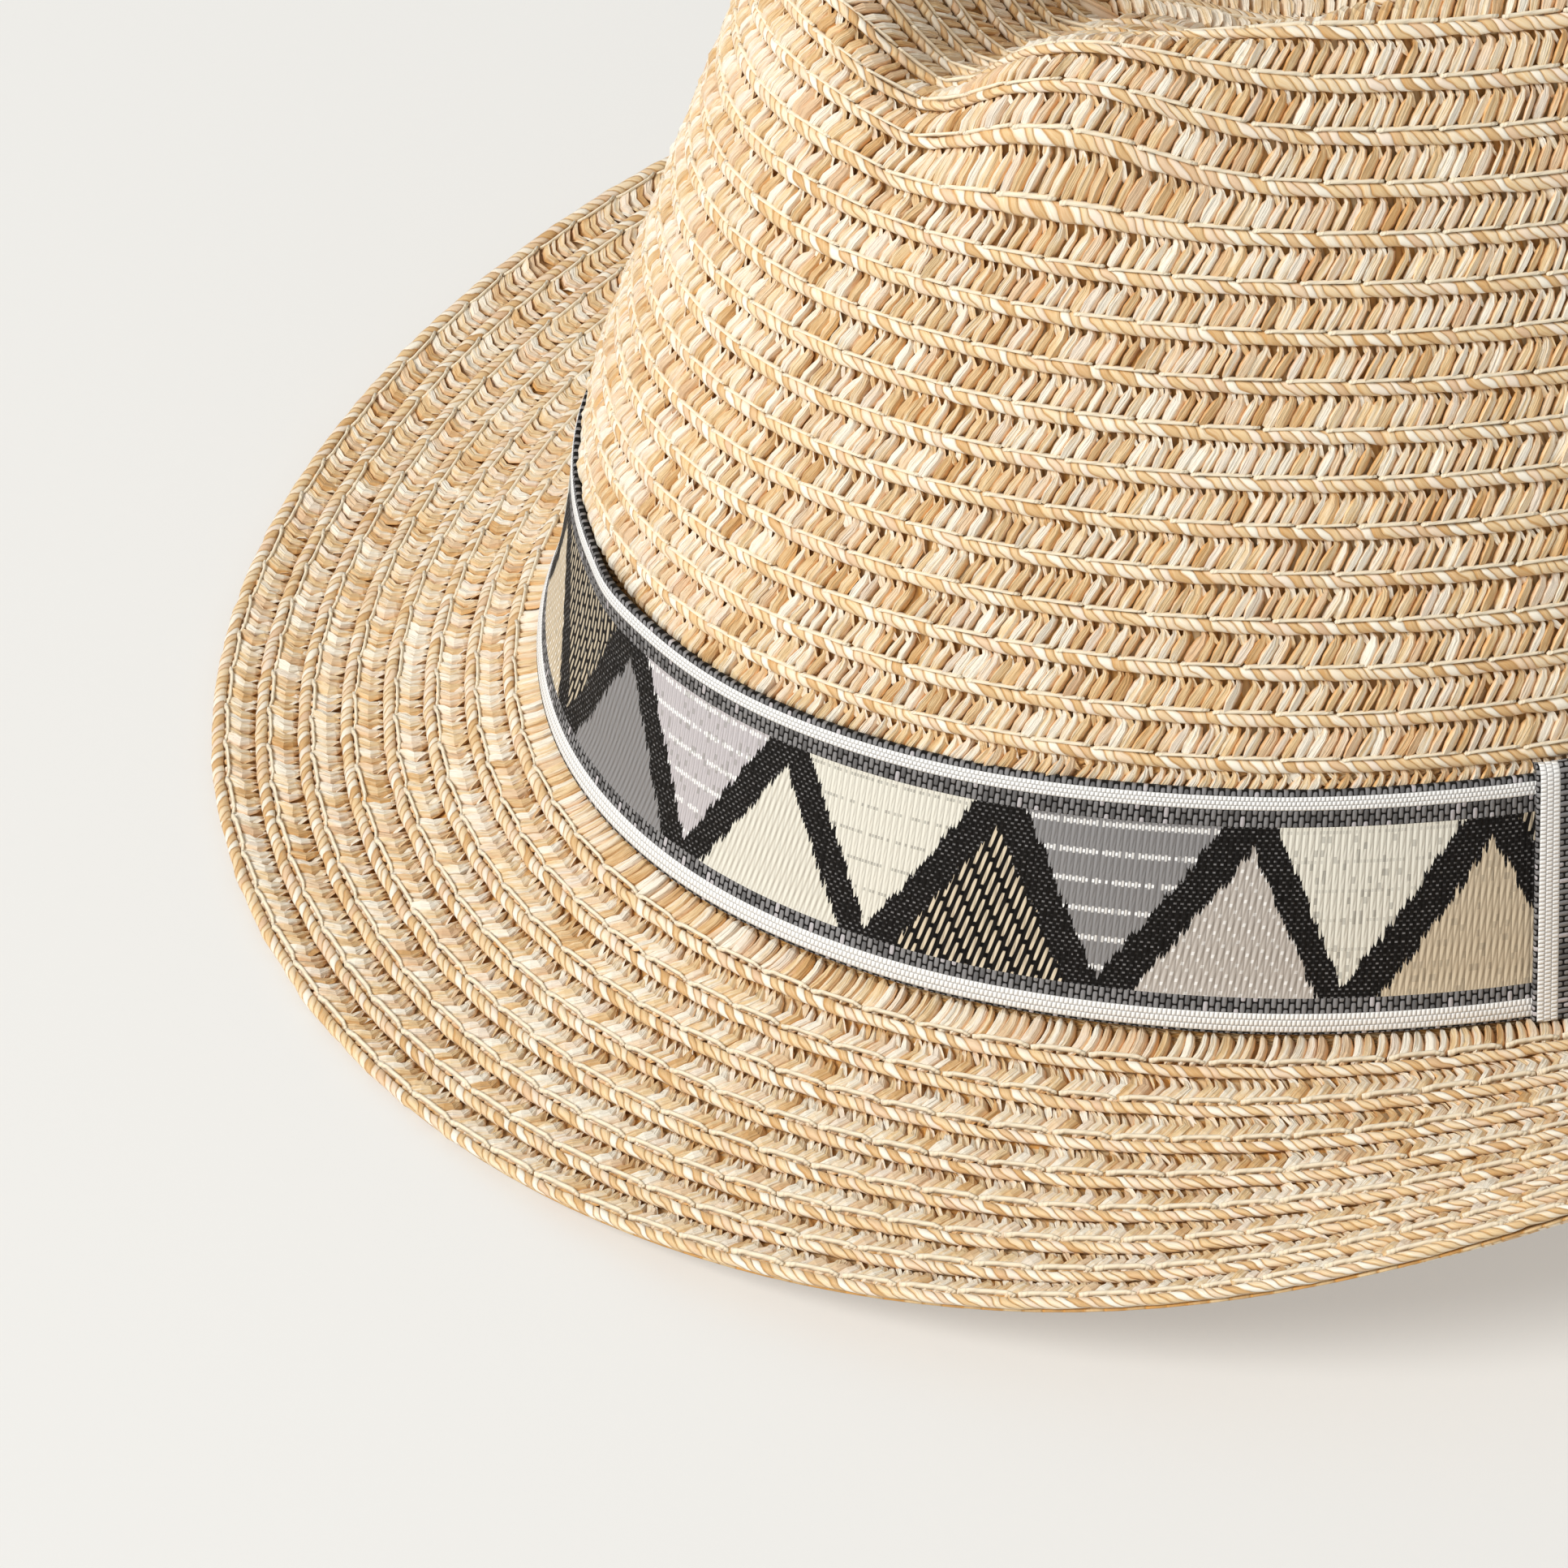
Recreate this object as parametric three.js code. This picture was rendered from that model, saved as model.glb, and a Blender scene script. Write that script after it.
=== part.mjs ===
// A straw trilby: one hollow sewn-braid body, a patterned ribbon round the crown and a ribbon keeper over its join.
// Millimetres, +Z up, the floor at z = 0. The front of the hat is -Y and the wearer's left is +X.
// An angle round the hat is 0 at the front and grows towards the wearer's left.
import * as THREE from 'three';
import { mergeVertices } from 'three/addons/utils/BufferGeometryUtils.js';

// Head opening and the way the crown stands
const OPENING_HALF_LENGTH = 99.5; // outside of the straw where crown and brim meet
const OPENING_HALF_WIDTH = 82.6;
const BREAK_SADDLE = 4.0; // the crease between crown and brim is higher at the sides by this much
const BREAK_BACK_DROP = 1.8; // and lower still at the back, where the hat rests
const CROWN_LIFT = 11.4;
const CROWN_LEAN_DEG = 2.7; // the crown leans back because the front brim props it up

// Straw
const WALL = 2.2;
const ROW_STEP = 0.9; // each braid row steps in under the next one by this much
const ROW_PITCH = 5.81; // along the crown wall
const FIRST_ROW = 38.3; // up the wall to the first row above the ribbon, at the side
const ROW_LEVELNESS = 0.27; // 1 keeps rows level, 0 lets them follow the saddle
const SIDE_BREAK = 4.2; // up the wall to the break where FIRST_ROW is measured
const WALL_ROWS = 12; // rows that keep the wall pitch
const CROWN_ROWS = 22; // rows from the ribbon to the tip
const ROW_FACE = 0.82; // share of a row's pitch that shows before the step

// Slope of the crown wall from upright, in degrees: mean, front-back part, side part
const WALL_SLOPE = { mean: 13.8, front: -0.1, sides: -5.6 };
const WALL_BELLY = 0.8; // outward swell half way up
const FRONT_LEAN = 0.12; // the front leans in more than the rest, by this much for each millimetre up
const FRONT_STAND = 5.5; // yet it stands upright behind the ribbon, which sets the leaning part out by this much
const FRONT_STAND_TO = 45.0;
const FRONT_FADE = 50.0; // past the shoulder, over which the front's lean dies out

// Crown tip: the braid starts on a seam along the middle of the hollow
const SEAM_FRONT = 43.0;
const SEAM_BACK = 25.0;

// Height of the undented top and radius of its shoulder, mirrored to the other side
const TOP_SECTIONS = [
  { angle: 0, height: 124.5, shoulder: 20 },
  { angle: 15, height: 116, shoulder: 11 },
  { angle: 30, height: 107, shoulder: 6 },
  { angle: 45, height: 114, shoulder: 6 },
  { angle: 60, height: 119.5, shoulder: 8 },
  { angle: 75, height: 122, shoulder: 11 },
  { angle: 90, height: 124.5, shoulder: 15 },
  { angle: 105, height: 128, shoulder: 19 },
  { angle: 120, height: 129, shoulder: 22 },
  { angle: 135, height: 128.5, shoulder: 24 },
  { angle: 150, height: 127.5, shoulder: 24 },
  { angle: 165, height: 126.5, shoulder: 24 },
  { angle: 180, height: 126, shoulder: 24 },
];

// Hollow pressed into the top: its ends are soft and its sides steep, and it narrows to the back
const HOLLOW = { centre: -3, halfLength: 72, halfWidth: 36.5, taper: 0.2, steepness: 2.2, floor: 90 };

// Finger pinch on each side of the front, and the rise beside it that the straw folds up into
const PINCH = { angle: 50, x: 22, y: -62, width: 6, depth: 3, drop: 5, from: 88, to: 108, inner: 2, outer: 16 };
const FOLD_RISE = { x: 33.5, y: -50, width: 10.5, height: 6, from: 94, to: 106 };

// Brim: an arc of this length from the break to the edge, turning up by `curl` degrees on the way
const BRIM_LENGTH = 46.3;
const BRIM_ROWS = 8;
const BRIM_PITCH = 5.65;
const BRIM_SECTIONS = [
  { angle: 0, edge: 1.7, curl: 36 },
  { angle: 30, edge: 2.4, curl: 38 },
  { angle: 60, edge: 11.5, curl: 40 },
  { angle: 90, edge: 28.5, curl: 42 },
  { angle: 120, edge: 37.5, curl: 39 },
  { angle: 150, edge: 37.5, curl: 33 },
  { angle: 180, edge: 34.5, curl: 30 },
  { angle: 210, edge: 31.5, curl: 33 },
  { angle: 240, edge: 27.5, curl: 39 },
  { angle: 270, edge: 22.1, curl: 45 },
  { angle: 300, edge: 12.3, curl: 42 },
  { angle: 330, edge: 4.0, curl: 38 },
];
const UNDERSIDE_STATIONS = [6, 13.5, 21, 28.5, 34.5, 40]; // along the brim, from the break
const INNER_WALL_STATIONS = [3, 20, 37, 54, 70, 84, 94]; // up the wall inside, from the break
const INNER_TOP_STATIONS = [0.08, 0.16, 0.24, 0.33, 0.43, 0.54, 0.66, 0.78, 0.9]; // share of the way from there to the tip
const CORNER_SHARE = 1.2; // wall thickness across the corner where crown turns into brim

// Ribbon and keeper
const RIBBON_WIDTH = 32.0;
const RIBBON_THICKNESS = 1.0;
const GAP = 0.3;
const RIBBON_FROM_BREAK = 0.4; // from the front to the sides
const RIBBON_BACK_RISE = 1.0; // higher by this much at the back, where the brim turns up
const KEEPER_RISE = 0.2; // the keeper's lower end above the ribbon's
const KEEPER_FROM = 92.5; // degrees round the hat, behind the wearer's left
const KEEPER_TO = 112.5;
const KEEPER_FOLD = 1.0; // thickness of the fold over the ribbon's top edge

const COLUMNS = 60; // sections round the hat
const NORMAL_STEP = 0.02; // for the slopes of a surface, along a section
const INSIDE_STEP = 5; // wider for the inside of the top, which rounds the sharp rim of the hollow
const ANGLE_STEP = 0.002; // and round the hat, in radians
const SEAM_MARGIN = 2.0; // normals are taken this far from the tip seam

const straw = new THREE.MeshStandardMaterial({ color: 0xe3c795, roughness: 0.75, metalness: 0 });
const ribbon = new THREE.MeshStandardMaterial({ color: 0x6f6c6a, roughness: 0.8, metalness: 0 });
const keeperRibbon = new THREE.MeshStandardMaterial({ color: 0x5d5b5a, roughness: 0.8, metalness: 0 });

const rad = THREE.MathUtils.degToRad;
const clamp = THREE.MathUtils.clamp;
const smoothstep = THREE.MathUtils.smoothstep;

// A smooth closed curve through a column of a table whose rows are equally spaced round the hat
function aroundHat(table, column, angle) {
  const count = table.length;
  const turn = THREE.MathUtils.euclideanModulo(angle / (2 * Math.PI), 1) * count;
  const index = Math.floor(turn);
  const t = turn - index;
  const [a, b, c, d] = [-1, 0, 1, 2].map((step) => table[(index + step + count) % count][column]);
  return b + 0.5 * t * (c - a + t * (2 * a - 5 * b + 4 * c - d + t * (3 * (b - c) + d - a)));
}

const TOP_AROUND = TOP_SECTIONS.concat(TOP_SECTIONS.slice(1, -1).reverse());

// The point of the break at an angle, before the crown is leant back
function breakPoint(angle) {
  const back = Math.max(0, -Math.cos(angle));
  return new THREE.Vector3(
    OPENING_HALF_WIDTH * Math.sin(angle),
    -OPENING_HALF_LENGTH * Math.cos(angle),
    -BREAK_SADDLE * Math.cos(2 * angle) - BREAK_BACK_DROP * back * back,
  );
}

// The sizes of one section of the crown, from the break to the tip seam
function section(angle) {
  const start = breakPoint(angle);
  const cos = Math.cos(angle);
  const seamY = -((SEAM_FRONT + SEAM_BACK) / 2) * cos - ((SEAM_FRONT - SEAM_BACK) / 2) * cos * cos;
  const slope = rad(WALL_SLOPE.mean + WALL_SLOPE.front * cos + WALL_SLOPE.sides * Math.cos(2 * angle));
  const height = aroundHat(TOP_AROUND, 'height', angle);
  const shoulder = aroundHat(TOP_AROUND, 'shoulder', angle);
  const reach = Math.hypot(start.x, seamY - start.y);
  const wall = (height - shoulder * (1 - Math.sin(slope))) / Math.cos(slope);
  const breakAt = start.z / Math.cos(slope);
  const bend = Math.PI / 2 - slope;
  const flat = Math.max(0, reach - (wall - breakAt) * Math.sin(slope) - shoulder * Math.cos(slope));
  return { start, seamY, slope, shoulder, reach, wall, breakAt, bend, cos, length: wall + shoulder * bend + flat };
}

// A point of the crown before the hollow and the pinches, `along` millimetres up from the level of the opening
function plainCrown(angle, along) {
  const s = section(angle);
  const straight = Math.min(along, s.wall);
  const turned = clamp((along - s.wall) / s.shoulder, 0, s.bend);
  const flat = Math.max(0, along - s.wall - s.shoulder * s.bend);
  const front = (0.5 + 0.5 * s.cos) ** 4 * (1 - clamp((along - s.wall) / FRONT_FADE, 0, 1));
  const tuck = front * (FRONT_LEAN * straight - FRONT_STAND * smoothstep(along, 0, FRONT_STAND_TO));
  const belly = WALL_BELLY * Math.sin(Math.PI * clamp(along / s.wall, 0, 1));
  const inward = Math.min(s.reach, (straight - s.breakAt) * Math.sin(s.slope)
    + s.shoulder * (Math.cos(s.slope) - Math.cos(s.slope + turned)) + flat + tuck - belly);
  const share = inward / s.reach;
  const rise = straight * Math.cos(s.slope) + s.shoulder * (Math.sin(s.slope + turned) - Math.sin(s.slope));
  return new THREE.Vector3(s.start.x * (1 - share), s.start.y + (s.seamY - s.start.y) * share, rise);
}

// Presses the hollow and the two pinches with their rises into a point
function press(point) {
  const side = Math.sign(point.x);
  const across = Math.abs(point.x);
  const [nx, ny] = [Math.sin(rad(PINCH.angle)), -Math.cos(rad(PINCH.angle))];
  const beside = (across - PINCH.x) * -ny + (point.y - PINCH.y) * nx;
  const pinch = Math.exp(-0.5 * (beside / PINCH.width) ** 2)
    * smoothstep(point.z, PINCH.from, PINCH.to) * smoothstep(across, PINCH.inner, PINCH.outer);
  const forward = (point.y - HOLLOW.centre) / HOLLOW.halfLength;
  const sideways = Math.min(across / (HOLLOW.halfWidth * (1 - HOLLOW.taper * forward)), 1) ** HOLLOW.steepness;
  const endways = Math.min(Math.abs(forward), 1);
  const hollow = (Math.cos((Math.PI / 2) * sideways) * Math.cos((Math.PI / 2) * endways)) ** 2;
  const fromRise = Math.hypot(across - FOLD_RISE.x, point.y - FOLD_RISE.y) / FOLD_RISE.width;
  const rise = Math.exp(-0.5 * fromRise ** 2) * smoothstep(point.z, FOLD_RISE.from, FOLD_RISE.to);
  const z = point.z - PINCH.drop * pinch + FOLD_RISE.height * rise;
  return new THREE.Vector3(
    side * (across - PINCH.depth * pinch * nx),
    point.y - PINCH.depth * pinch * ny,
    z - (z - HOLLOW.floor) * hollow,
  );
}

// Leans a point of the crown back and lifts it to its height above the floor
function stand(point) {
  return point.applyAxisAngle(new THREE.Vector3(1, 0, 0), -rad(CROWN_LEAN_DEG)).setZ(point.z + CROWN_LIFT);
}

const crown = (angle, along) => stand(press(plainCrown(angle, along)));

function brim(angle, out) {
  const start = stand(breakPoint(angle));
  const normal = new THREE.Vector3(Math.sin(angle) / OPENING_HALF_WIDTH, -Math.cos(angle) / OPENING_HALF_LENGTH, 0);
  const curl = rad(aroundHat(BRIM_SECTIONS, 'curl', angle));
  const rise = aroundHat(BRIM_SECTIONS, 'edge', angle) - start.z;
  const first = Math.asin((rise * curl / 2) / (BRIM_LENGTH * Math.sin(curl / 2))) - curl / 2;
  const here = first + (curl * out) / BRIM_LENGTH;
  const radius = BRIM_LENGTH / curl;
  start.addScaledVector(normal.normalize(), radius * (Math.sin(here) - Math.sin(first)));
  return start.setZ(start.z + radius * (Math.cos(first) - Math.cos(here)));
}

// A point moved off a surface along its normal; `turn` is +1 or -1, so that the normal points out of the straw
function offset(surface, angle, at, distance, turn, step = NORMAL_STEP) {
  const point = surface(angle, at);
  const up = surface(angle, at + step).sub(surface(angle, at - step));
  const round = surface(angle + ANGLE_STEP, at).sub(surface(angle - ANGLE_STEP, at));
  return point.addScaledVector(round.cross(up).normalize(), turn * distance);
}

const onCrown = (angle, along, distance) => offset(crown, angle, along, distance, 1);
const onBrim = (angle, out, distance) => offset(brim, angle, out, distance, -1);

// How far up the crown the lower edge of a braid row lies; rows past the wall share out what is left to the tip
function rowAt(angle, row) {
  const { breakAt, length } = section(angle);
  const wallRow = (count) => FIRST_ROW + ROW_PITCH * count - (1 - ROW_LEVELNESS) * (SIDE_BREAK - breakAt);
  if (row <= WALL_ROWS) return wallRow(row);
  const last = wallRow(WALL_ROWS);
  return last + ((row - WALL_ROWS) / (CROWN_ROWS - WALL_ROWS)) * (length - last);
}

// The corner under the break, where the inside of the crown turns into the underside of the brim
function innerCorner(angle) {
  const { breakAt } = section(angle);
  const corner = crown(angle, breakAt);
  const wall = onCrown(angle, breakAt, 1).sub(corner);
  const floor = onBrim(angle, 0, 1).sub(corner);
  return corner.addScaledVector(wall.add(floor).normalize(), -WALL * CORNER_SHARE);
}

// Nothing reaches below the floor: the brim is pressed flat where it rests
const onFloor = (point) => point.setZ(Math.max(0, point.z));

// The section of the straw at one angle as a closed walk: up the crown outside, down it inside, out under the
// brim and back over its top. `seam` is the place in the walk where the outside ends on the tip seam.
function strawSection(angle) {
  const s = section(angle);
  const walk = [0, RIBBON_WIDTH / 2, RIBBON_WIDTH].map((along) => onCrown(angle, s.breakAt + along, 0));
  for (let row = 0; row < CROWN_ROWS; row += 1) {
    const edge = rowAt(angle, row);
    const step = Math.min(edge + ROW_FACE * (rowAt(angle, row + 1) - edge), s.length - SEAM_MARGIN);
    walk.push(onCrown(angle, edge, 0), onCrown(angle, step, -ROW_STEP));
  }
  const tip = press(plainCrown(angle, s.length)).setX(0);
  const seam = walk.length;
  walk.push(stand(tip.clone()), stand(tip.clone().setZ(tip.z - WALL)));
  const wallTop = INNER_WALL_STATIONS.at(-1) + s.breakAt;
  for (const share of [...INNER_TOP_STATIONS].reverse()) {
    walk.push(offset(crown, angle, wallTop + share * (s.length - wallTop), -WALL, 1, INSIDE_STEP));
  }
  for (const along of [...INNER_WALL_STATIONS].reverse()) walk.push(onCrown(angle, along + s.breakAt, -WALL));
  walk.push(onFloor(innerCorner(angle)));
  for (const out of [...UNDERSIDE_STATIONS, BRIM_LENGTH]) walk.push(onFloor(onBrim(angle, out, -WALL)));
  walk.push(onBrim(angle, BRIM_LENGTH, 0));
  for (let row = 1; row < BRIM_ROWS; row += 1) {
    const edge = BRIM_LENGTH - row * BRIM_PITCH;
    walk.push(onBrim(angle, edge + (1 - ROW_FACE) * BRIM_PITCH, -ROW_STEP), onBrim(angle, edge, 0));
  }
  return { walk, seam };
}

// Joins the walks of neighbouring sections into a surface. A ring joins the last walk to the first; otherwise
// both end walks are closed. The strip after `openAt` is left out, where opposite walks meet on a seam.
function skin(walks, ring, openAt = -1) {
  const size = walks[0].length;
  const spans = ring ? walks.length : walks.length - 1;
  const index = [];
  for (let span = 0; span < spans; span += 1) {
    const [here, next] = [span * size, ((span + 1) % walks.length) * size];
    for (let k = 0; k < size; k += 1) {
      const after = (k + 1) % size;
      if (k !== openAt) index.push(here + k, next + k, next + after, here + k, next + after, here + after);
    }
  }
  if (!ring) {
    const last = (walks.length - 1) * size;
    for (let k = 1; k + 1 < size; k += 1) index.push(0, k, k + 1, last, last + k + 1, last + k);
  }
  const geometry = new THREE.BufferGeometry();
  const positions = walks.flat().flatMap((point) => point.toArray());
  geometry.setAttribute('position', new THREE.Float32BufferAttribute(positions, 3));
  geometry.setIndex(index);
  return tidy(geometry);
}

// Merges shared corners and drops the slivers that close up on the tip seam
function tidy(geometry) {
  const merged = mergeVertices(geometry, 1e-3);
  const { array } = merged.getIndex();
  const kept = [];
  for (let t = 0; t < array.length; t += 3) {
    const [a, b, c] = array.slice(t, t + 3);
    if (a !== b && b !== c && c !== a) kept.push(a, b, c);
  }
  merged.setIndex(kept);
  merged.computeVertexNormals();
  return merged;
}

const angleOf = (column) => (2 * Math.PI * column) / COLUMNS;

function strawBody() {
  const sections = Array.from({ length: COLUMNS }, (_, column) => strawSection(angleOf(column)));
  return skin(sections.map(({ walk }) => walk), true, sections[0].seam);
}

// The ribbon's walk at a column: heights up the ribbon paired with distances from the straw
function ribbonWalk(column, walk) {
  const angle = angleOf(column);
  const from = section(angle).breakAt + RIBBON_FROM_BREAK + RIBBON_BACK_RISE * Math.max(0, -Math.cos(angle));
  return walk.map(([along, distance]) => onCrown(angle, from + along, distance));
}

function hatBand() {
  const far = GAP + RIBBON_THICKNESS;
  const middle = RIBBON_WIDTH / 2;
  const walk = [[0, GAP], [0, far], [middle, far], [RIBBON_WIDTH, far], [RIBBON_WIDTH, GAP], [middle, GAP]];
  return skin(Array.from({ length: COLUMNS }, (_, column) => ribbonWalk(column, walk)), true);
}

// The keeper lies on the ribbon's outside and folds over its top edge. Its facets turn where the ribbon's do,
// and its two ends lie part way along a facet.
function bandKeeper() {
  const near = 2 * GAP + RIBBON_THICKNESS;
  const far = near + RIBBON_THICKNESS;
  const lip = RIBBON_WIDTH + GAP;
  const fold = lip + KEEPER_FOLD;
  const middle = RIBBON_WIDTH / 2;
  const walk = [[lip, near], [middle, near], [KEEPER_RISE, near], [KEEPER_RISE, far], [middle, far],
    [RIBBON_WIDTH, far], [fold, far], [fold, GAP], [lip, GAP]];
  const partWay = (position) => {
    const column = Math.floor(position);
    const next = ribbonWalk(column + 1, walk);
    return ribbonWalk(column, walk).map((point, i) => point.lerp(next[i], position - column));
  };
  const [first, last] = [KEEPER_FROM, KEEPER_TO].map((angle) => (angle * COLUMNS) / 360);
  const walks = [partWay(first)];
  for (let column = Math.ceil(first); column < last; column += 1) walks.push(ribbonWalk(column, walk));
  walks.push(partWay(last));
  return skin(walks, false);
}

function named(name, geometry, material) {
  const mesh = new THREE.Mesh(geometry, material);
  mesh.name = name;
  return mesh;
}

const hat = new THREE.Group();
hat.add(named('straw_body', strawBody(), straw));
hat.add(named('hat_band', hatBand(), ribbon));
hat.add(named('band_keeper', bandKeeper(), keeperRibbon));

// The hat stands over the middle of its outline seen from above
const middle = new THREE.Box3().setFromObject(hat).getCenter(new THREE.Vector3());
hat.position.set(-middle.x, -middle.y, 0);

export default hat;
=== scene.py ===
"""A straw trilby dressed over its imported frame: plaited rows, thread, a woven ribbon and its keeper."""
import math

import bpy
import numpy as np
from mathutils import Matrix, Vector


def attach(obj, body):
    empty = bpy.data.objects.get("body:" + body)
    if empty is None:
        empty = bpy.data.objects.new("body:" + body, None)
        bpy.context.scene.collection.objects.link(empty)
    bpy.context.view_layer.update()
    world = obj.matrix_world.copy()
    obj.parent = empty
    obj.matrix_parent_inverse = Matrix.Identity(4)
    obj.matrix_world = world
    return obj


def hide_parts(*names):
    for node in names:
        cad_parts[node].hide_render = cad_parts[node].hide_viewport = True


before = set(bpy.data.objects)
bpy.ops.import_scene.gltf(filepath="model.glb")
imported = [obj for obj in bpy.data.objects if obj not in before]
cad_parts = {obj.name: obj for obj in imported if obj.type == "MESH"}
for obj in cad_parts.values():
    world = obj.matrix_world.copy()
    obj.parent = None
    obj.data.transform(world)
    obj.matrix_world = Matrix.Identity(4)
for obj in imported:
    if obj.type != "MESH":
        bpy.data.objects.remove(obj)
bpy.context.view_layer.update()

bl_info = {
    "name": "Straw Trilby",
    "version": (1, 0, 0),
    "blender": (4, 5, 0),
    "location": "3D View > Sidebar > Trilby",
    "description": "Plaits the straw, weaves the ribbon and sets the stage of a trilby",
    "category": "Add Mesh",
}

MM = 0.001
TURN = 2 * math.pi

# The shape of the hat in millimetres, as in the solids. The front is -Y and the wearer's left is +X.
# An angle round the hat is 0 at the front and grows towards the wearer's left.
OPENING_HALF_LENGTH = 99.5
OPENING_HALF_WIDTH = 82.6
BREAK_SADDLE = 4.0
BREAK_BACK_DROP = 1.8
CROWN_LIFT = 11.4
CROWN_LEAN = math.radians(2.7)
WALL = 2.2
ROW_PITCH = 5.81
FIRST_ROW = 38.3
ROW_LEVELNESS = 0.27
SIDE_BREAK = 4.2
WALL_ROWS = 12
CROWN_ROWS = 22
WALL_SLOPE = {"mean": 13.8, "front": -0.1, "sides": -5.6}
WALL_BELLY = 0.8
FRONT_LEAN = 0.12
FRONT_STAND = 5.5
FRONT_STAND_TO = 45.0
FRONT_FADE = 50.0
SEAM_FRONT = 43.0
SEAM_BACK = 25.0
# Angle, height of the undented top, radius of its shoulder
TOP_SECTIONS = [
    (0, 124.5, 20), (15, 116, 11), (30, 107, 6), (45, 114, 6), (60, 119.5, 8), (75, 122, 11),
    (90, 124.5, 15), (105, 128, 19), (120, 129, 22), (135, 128.5, 24), (150, 127.5, 24),
    (165, 126.5, 24), (180, 126, 24),
]
HOLLOW = {"centre": -3.0, "half_length": 72.0, "half_width": 36.5, "taper": 0.2, "steepness": 2.2,
          "floor": 90.0}
PINCH = {"angle": 50.0, "x": 22.0, "y": -62.0, "width": 6.0, "depth": 3.0, "drop": 5.0,
         "from": 88.0, "to": 108.0, "inner": 2.0, "outer": 16.0}
FOLD_RISE = {"x": 33.5, "y": -50.0, "width": 10.5, "height": 6.0, "from": 94.0, "to": 106.0}
BRIM_LENGTH = 46.3
BRIM_ROWS = 8
BRIM_PITCH = 5.65
# Angle, height of the brim's edge, how far it curls up in degrees
BRIM_SECTIONS = [
    (0, 1.7, 36), (30, 2.4, 38), (60, 11.5, 40), (90, 28.5, 42), (120, 37.5, 39), (150, 37.5, 33),
    (180, 34.5, 30), (210, 31.5, 33), (240, 27.5, 39), (270, 22.1, 45), (300, 12.3, 42), (330, 4.0, 38),
]
SOLID_COLUMNS = 60  # sections round the hat in the solids, which centre it
SEAM_MARGIN = 2.0
FINE_STEP = 0.05  # for the slopes of a surface, along a section
INSIDE_STEP = 5.0  # wider for the inside of the crown, which rounds the sharp rim of the hollow
FINE_SWING = 0.0015  # the same round the hat, in radians
RIBBON_WIDTH = 32.3
RIBBON_FROM_BREAK = 0.05
RIBBON_BACK_RISE = 1.0  # higher by this much at the back, where the brim turns up
RIBBON_NEAR = 0.5  # from the straw to the ribbon's back
RIBBON_FAR = 1.3
KEEPER_FROM = math.radians(92.5)
KEEPER_TO = math.radians(112.5)
KEEPER_NEAR = 1.45
KEEPER_FAR = 2.3

# The photograph's camera: where it looks from, how many pixels a millimetre takes, and the pixel it aims at
FRAME_PIXELS = 1932
VIEW_AZIMUTH = math.radians(77.84)
VIEW_ELEVATION = math.radians(41.73)
VIEW_DISTANCE = 750.0
PIXELS_PER_MM = 9.78
AIM = Vector((0.0, 0.0, 60.5))
AIM_PIXEL = (1632.65, 389.67)
SENSOR_MM = 36.0


# Surface of the crown and the brim

def smoothstep(value, low, high):
    share = np.clip((value - low) / (high - low), 0, 1)
    return share * share * (3 - 2 * share)


def around_hat(column, angle):
    """A smooth closed curve through values that are equally spaced round the hat."""
    values = np.array(column, float)
    count = len(values)
    turn = (angle / TURN % 1) * count
    index = np.floor(turn).astype(int)
    t = turn - index
    a, b, c, d = (values[(index + step) % count] for step in (-1, 0, 1, 2))
    return b + 0.5 * t * (c - a + t * (2 * a - 5 * b + 4 * c - d + t * (3 * (b - c) + d - a)))


TOP_AROUND = TOP_SECTIONS + TOP_SECTIONS[-2:0:-1]
TOP_HEIGHTS = [row[1] for row in TOP_AROUND]
TOP_SHOULDERS = [row[2] for row in TOP_AROUND]
BRIM_EDGES = [row[1] for row in BRIM_SECTIONS]
BRIM_CURLS = [row[2] for row in BRIM_SECTIONS]


def break_point(angle):
    """The crease between crown and brim, before the crown is leant back."""
    cos = np.cos(angle)
    back = np.maximum(0, -cos)
    return (OPENING_HALF_WIDTH * np.sin(angle), -OPENING_HALF_LENGTH * cos,
            -BREAK_SADDLE * np.cos(2 * angle) - BREAK_BACK_DROP * back * back)


class Section:
    """The sizes of one section of the crown, from the break to the tip seam."""

    def __init__(self, angle):
        self.x, self.y, self.z = break_point(angle)
        self.cos = np.cos(angle)
        middle, half = (SEAM_FRONT + SEAM_BACK) / 2, (SEAM_FRONT - SEAM_BACK) / 2
        self.seam_y = -middle * self.cos - half * self.cos ** 2
        self.slope = np.radians(WALL_SLOPE["mean"] + WALL_SLOPE["front"] * self.cos
                                + WALL_SLOPE["sides"] * np.cos(2 * angle))
        self.shoulder = around_hat(TOP_SHOULDERS, angle)
        height = around_hat(TOP_HEIGHTS, angle)
        self.reach = np.hypot(self.x, self.seam_y - self.y)
        self.wall = (height - self.shoulder * (1 - np.sin(self.slope))) / np.cos(self.slope)
        self.break_at = self.z / np.cos(self.slope)
        self.bend = math.pi / 2 - self.slope
        flat = np.maximum(0, self.reach - (self.wall - self.break_at) * np.sin(self.slope)
                          - self.shoulder * np.cos(self.slope))
        self.length = self.wall + self.shoulder * self.bend + flat


def stand(x, y, z):
    """Leans points of the crown back and lifts them to their height above the floor."""
    cos, sin = math.cos(CROWN_LEAN), math.sin(CROWN_LEAN)
    return np.stack([x, y * cos + z * sin, z * cos - y * sin + CROWN_LIFT], -1)


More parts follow.
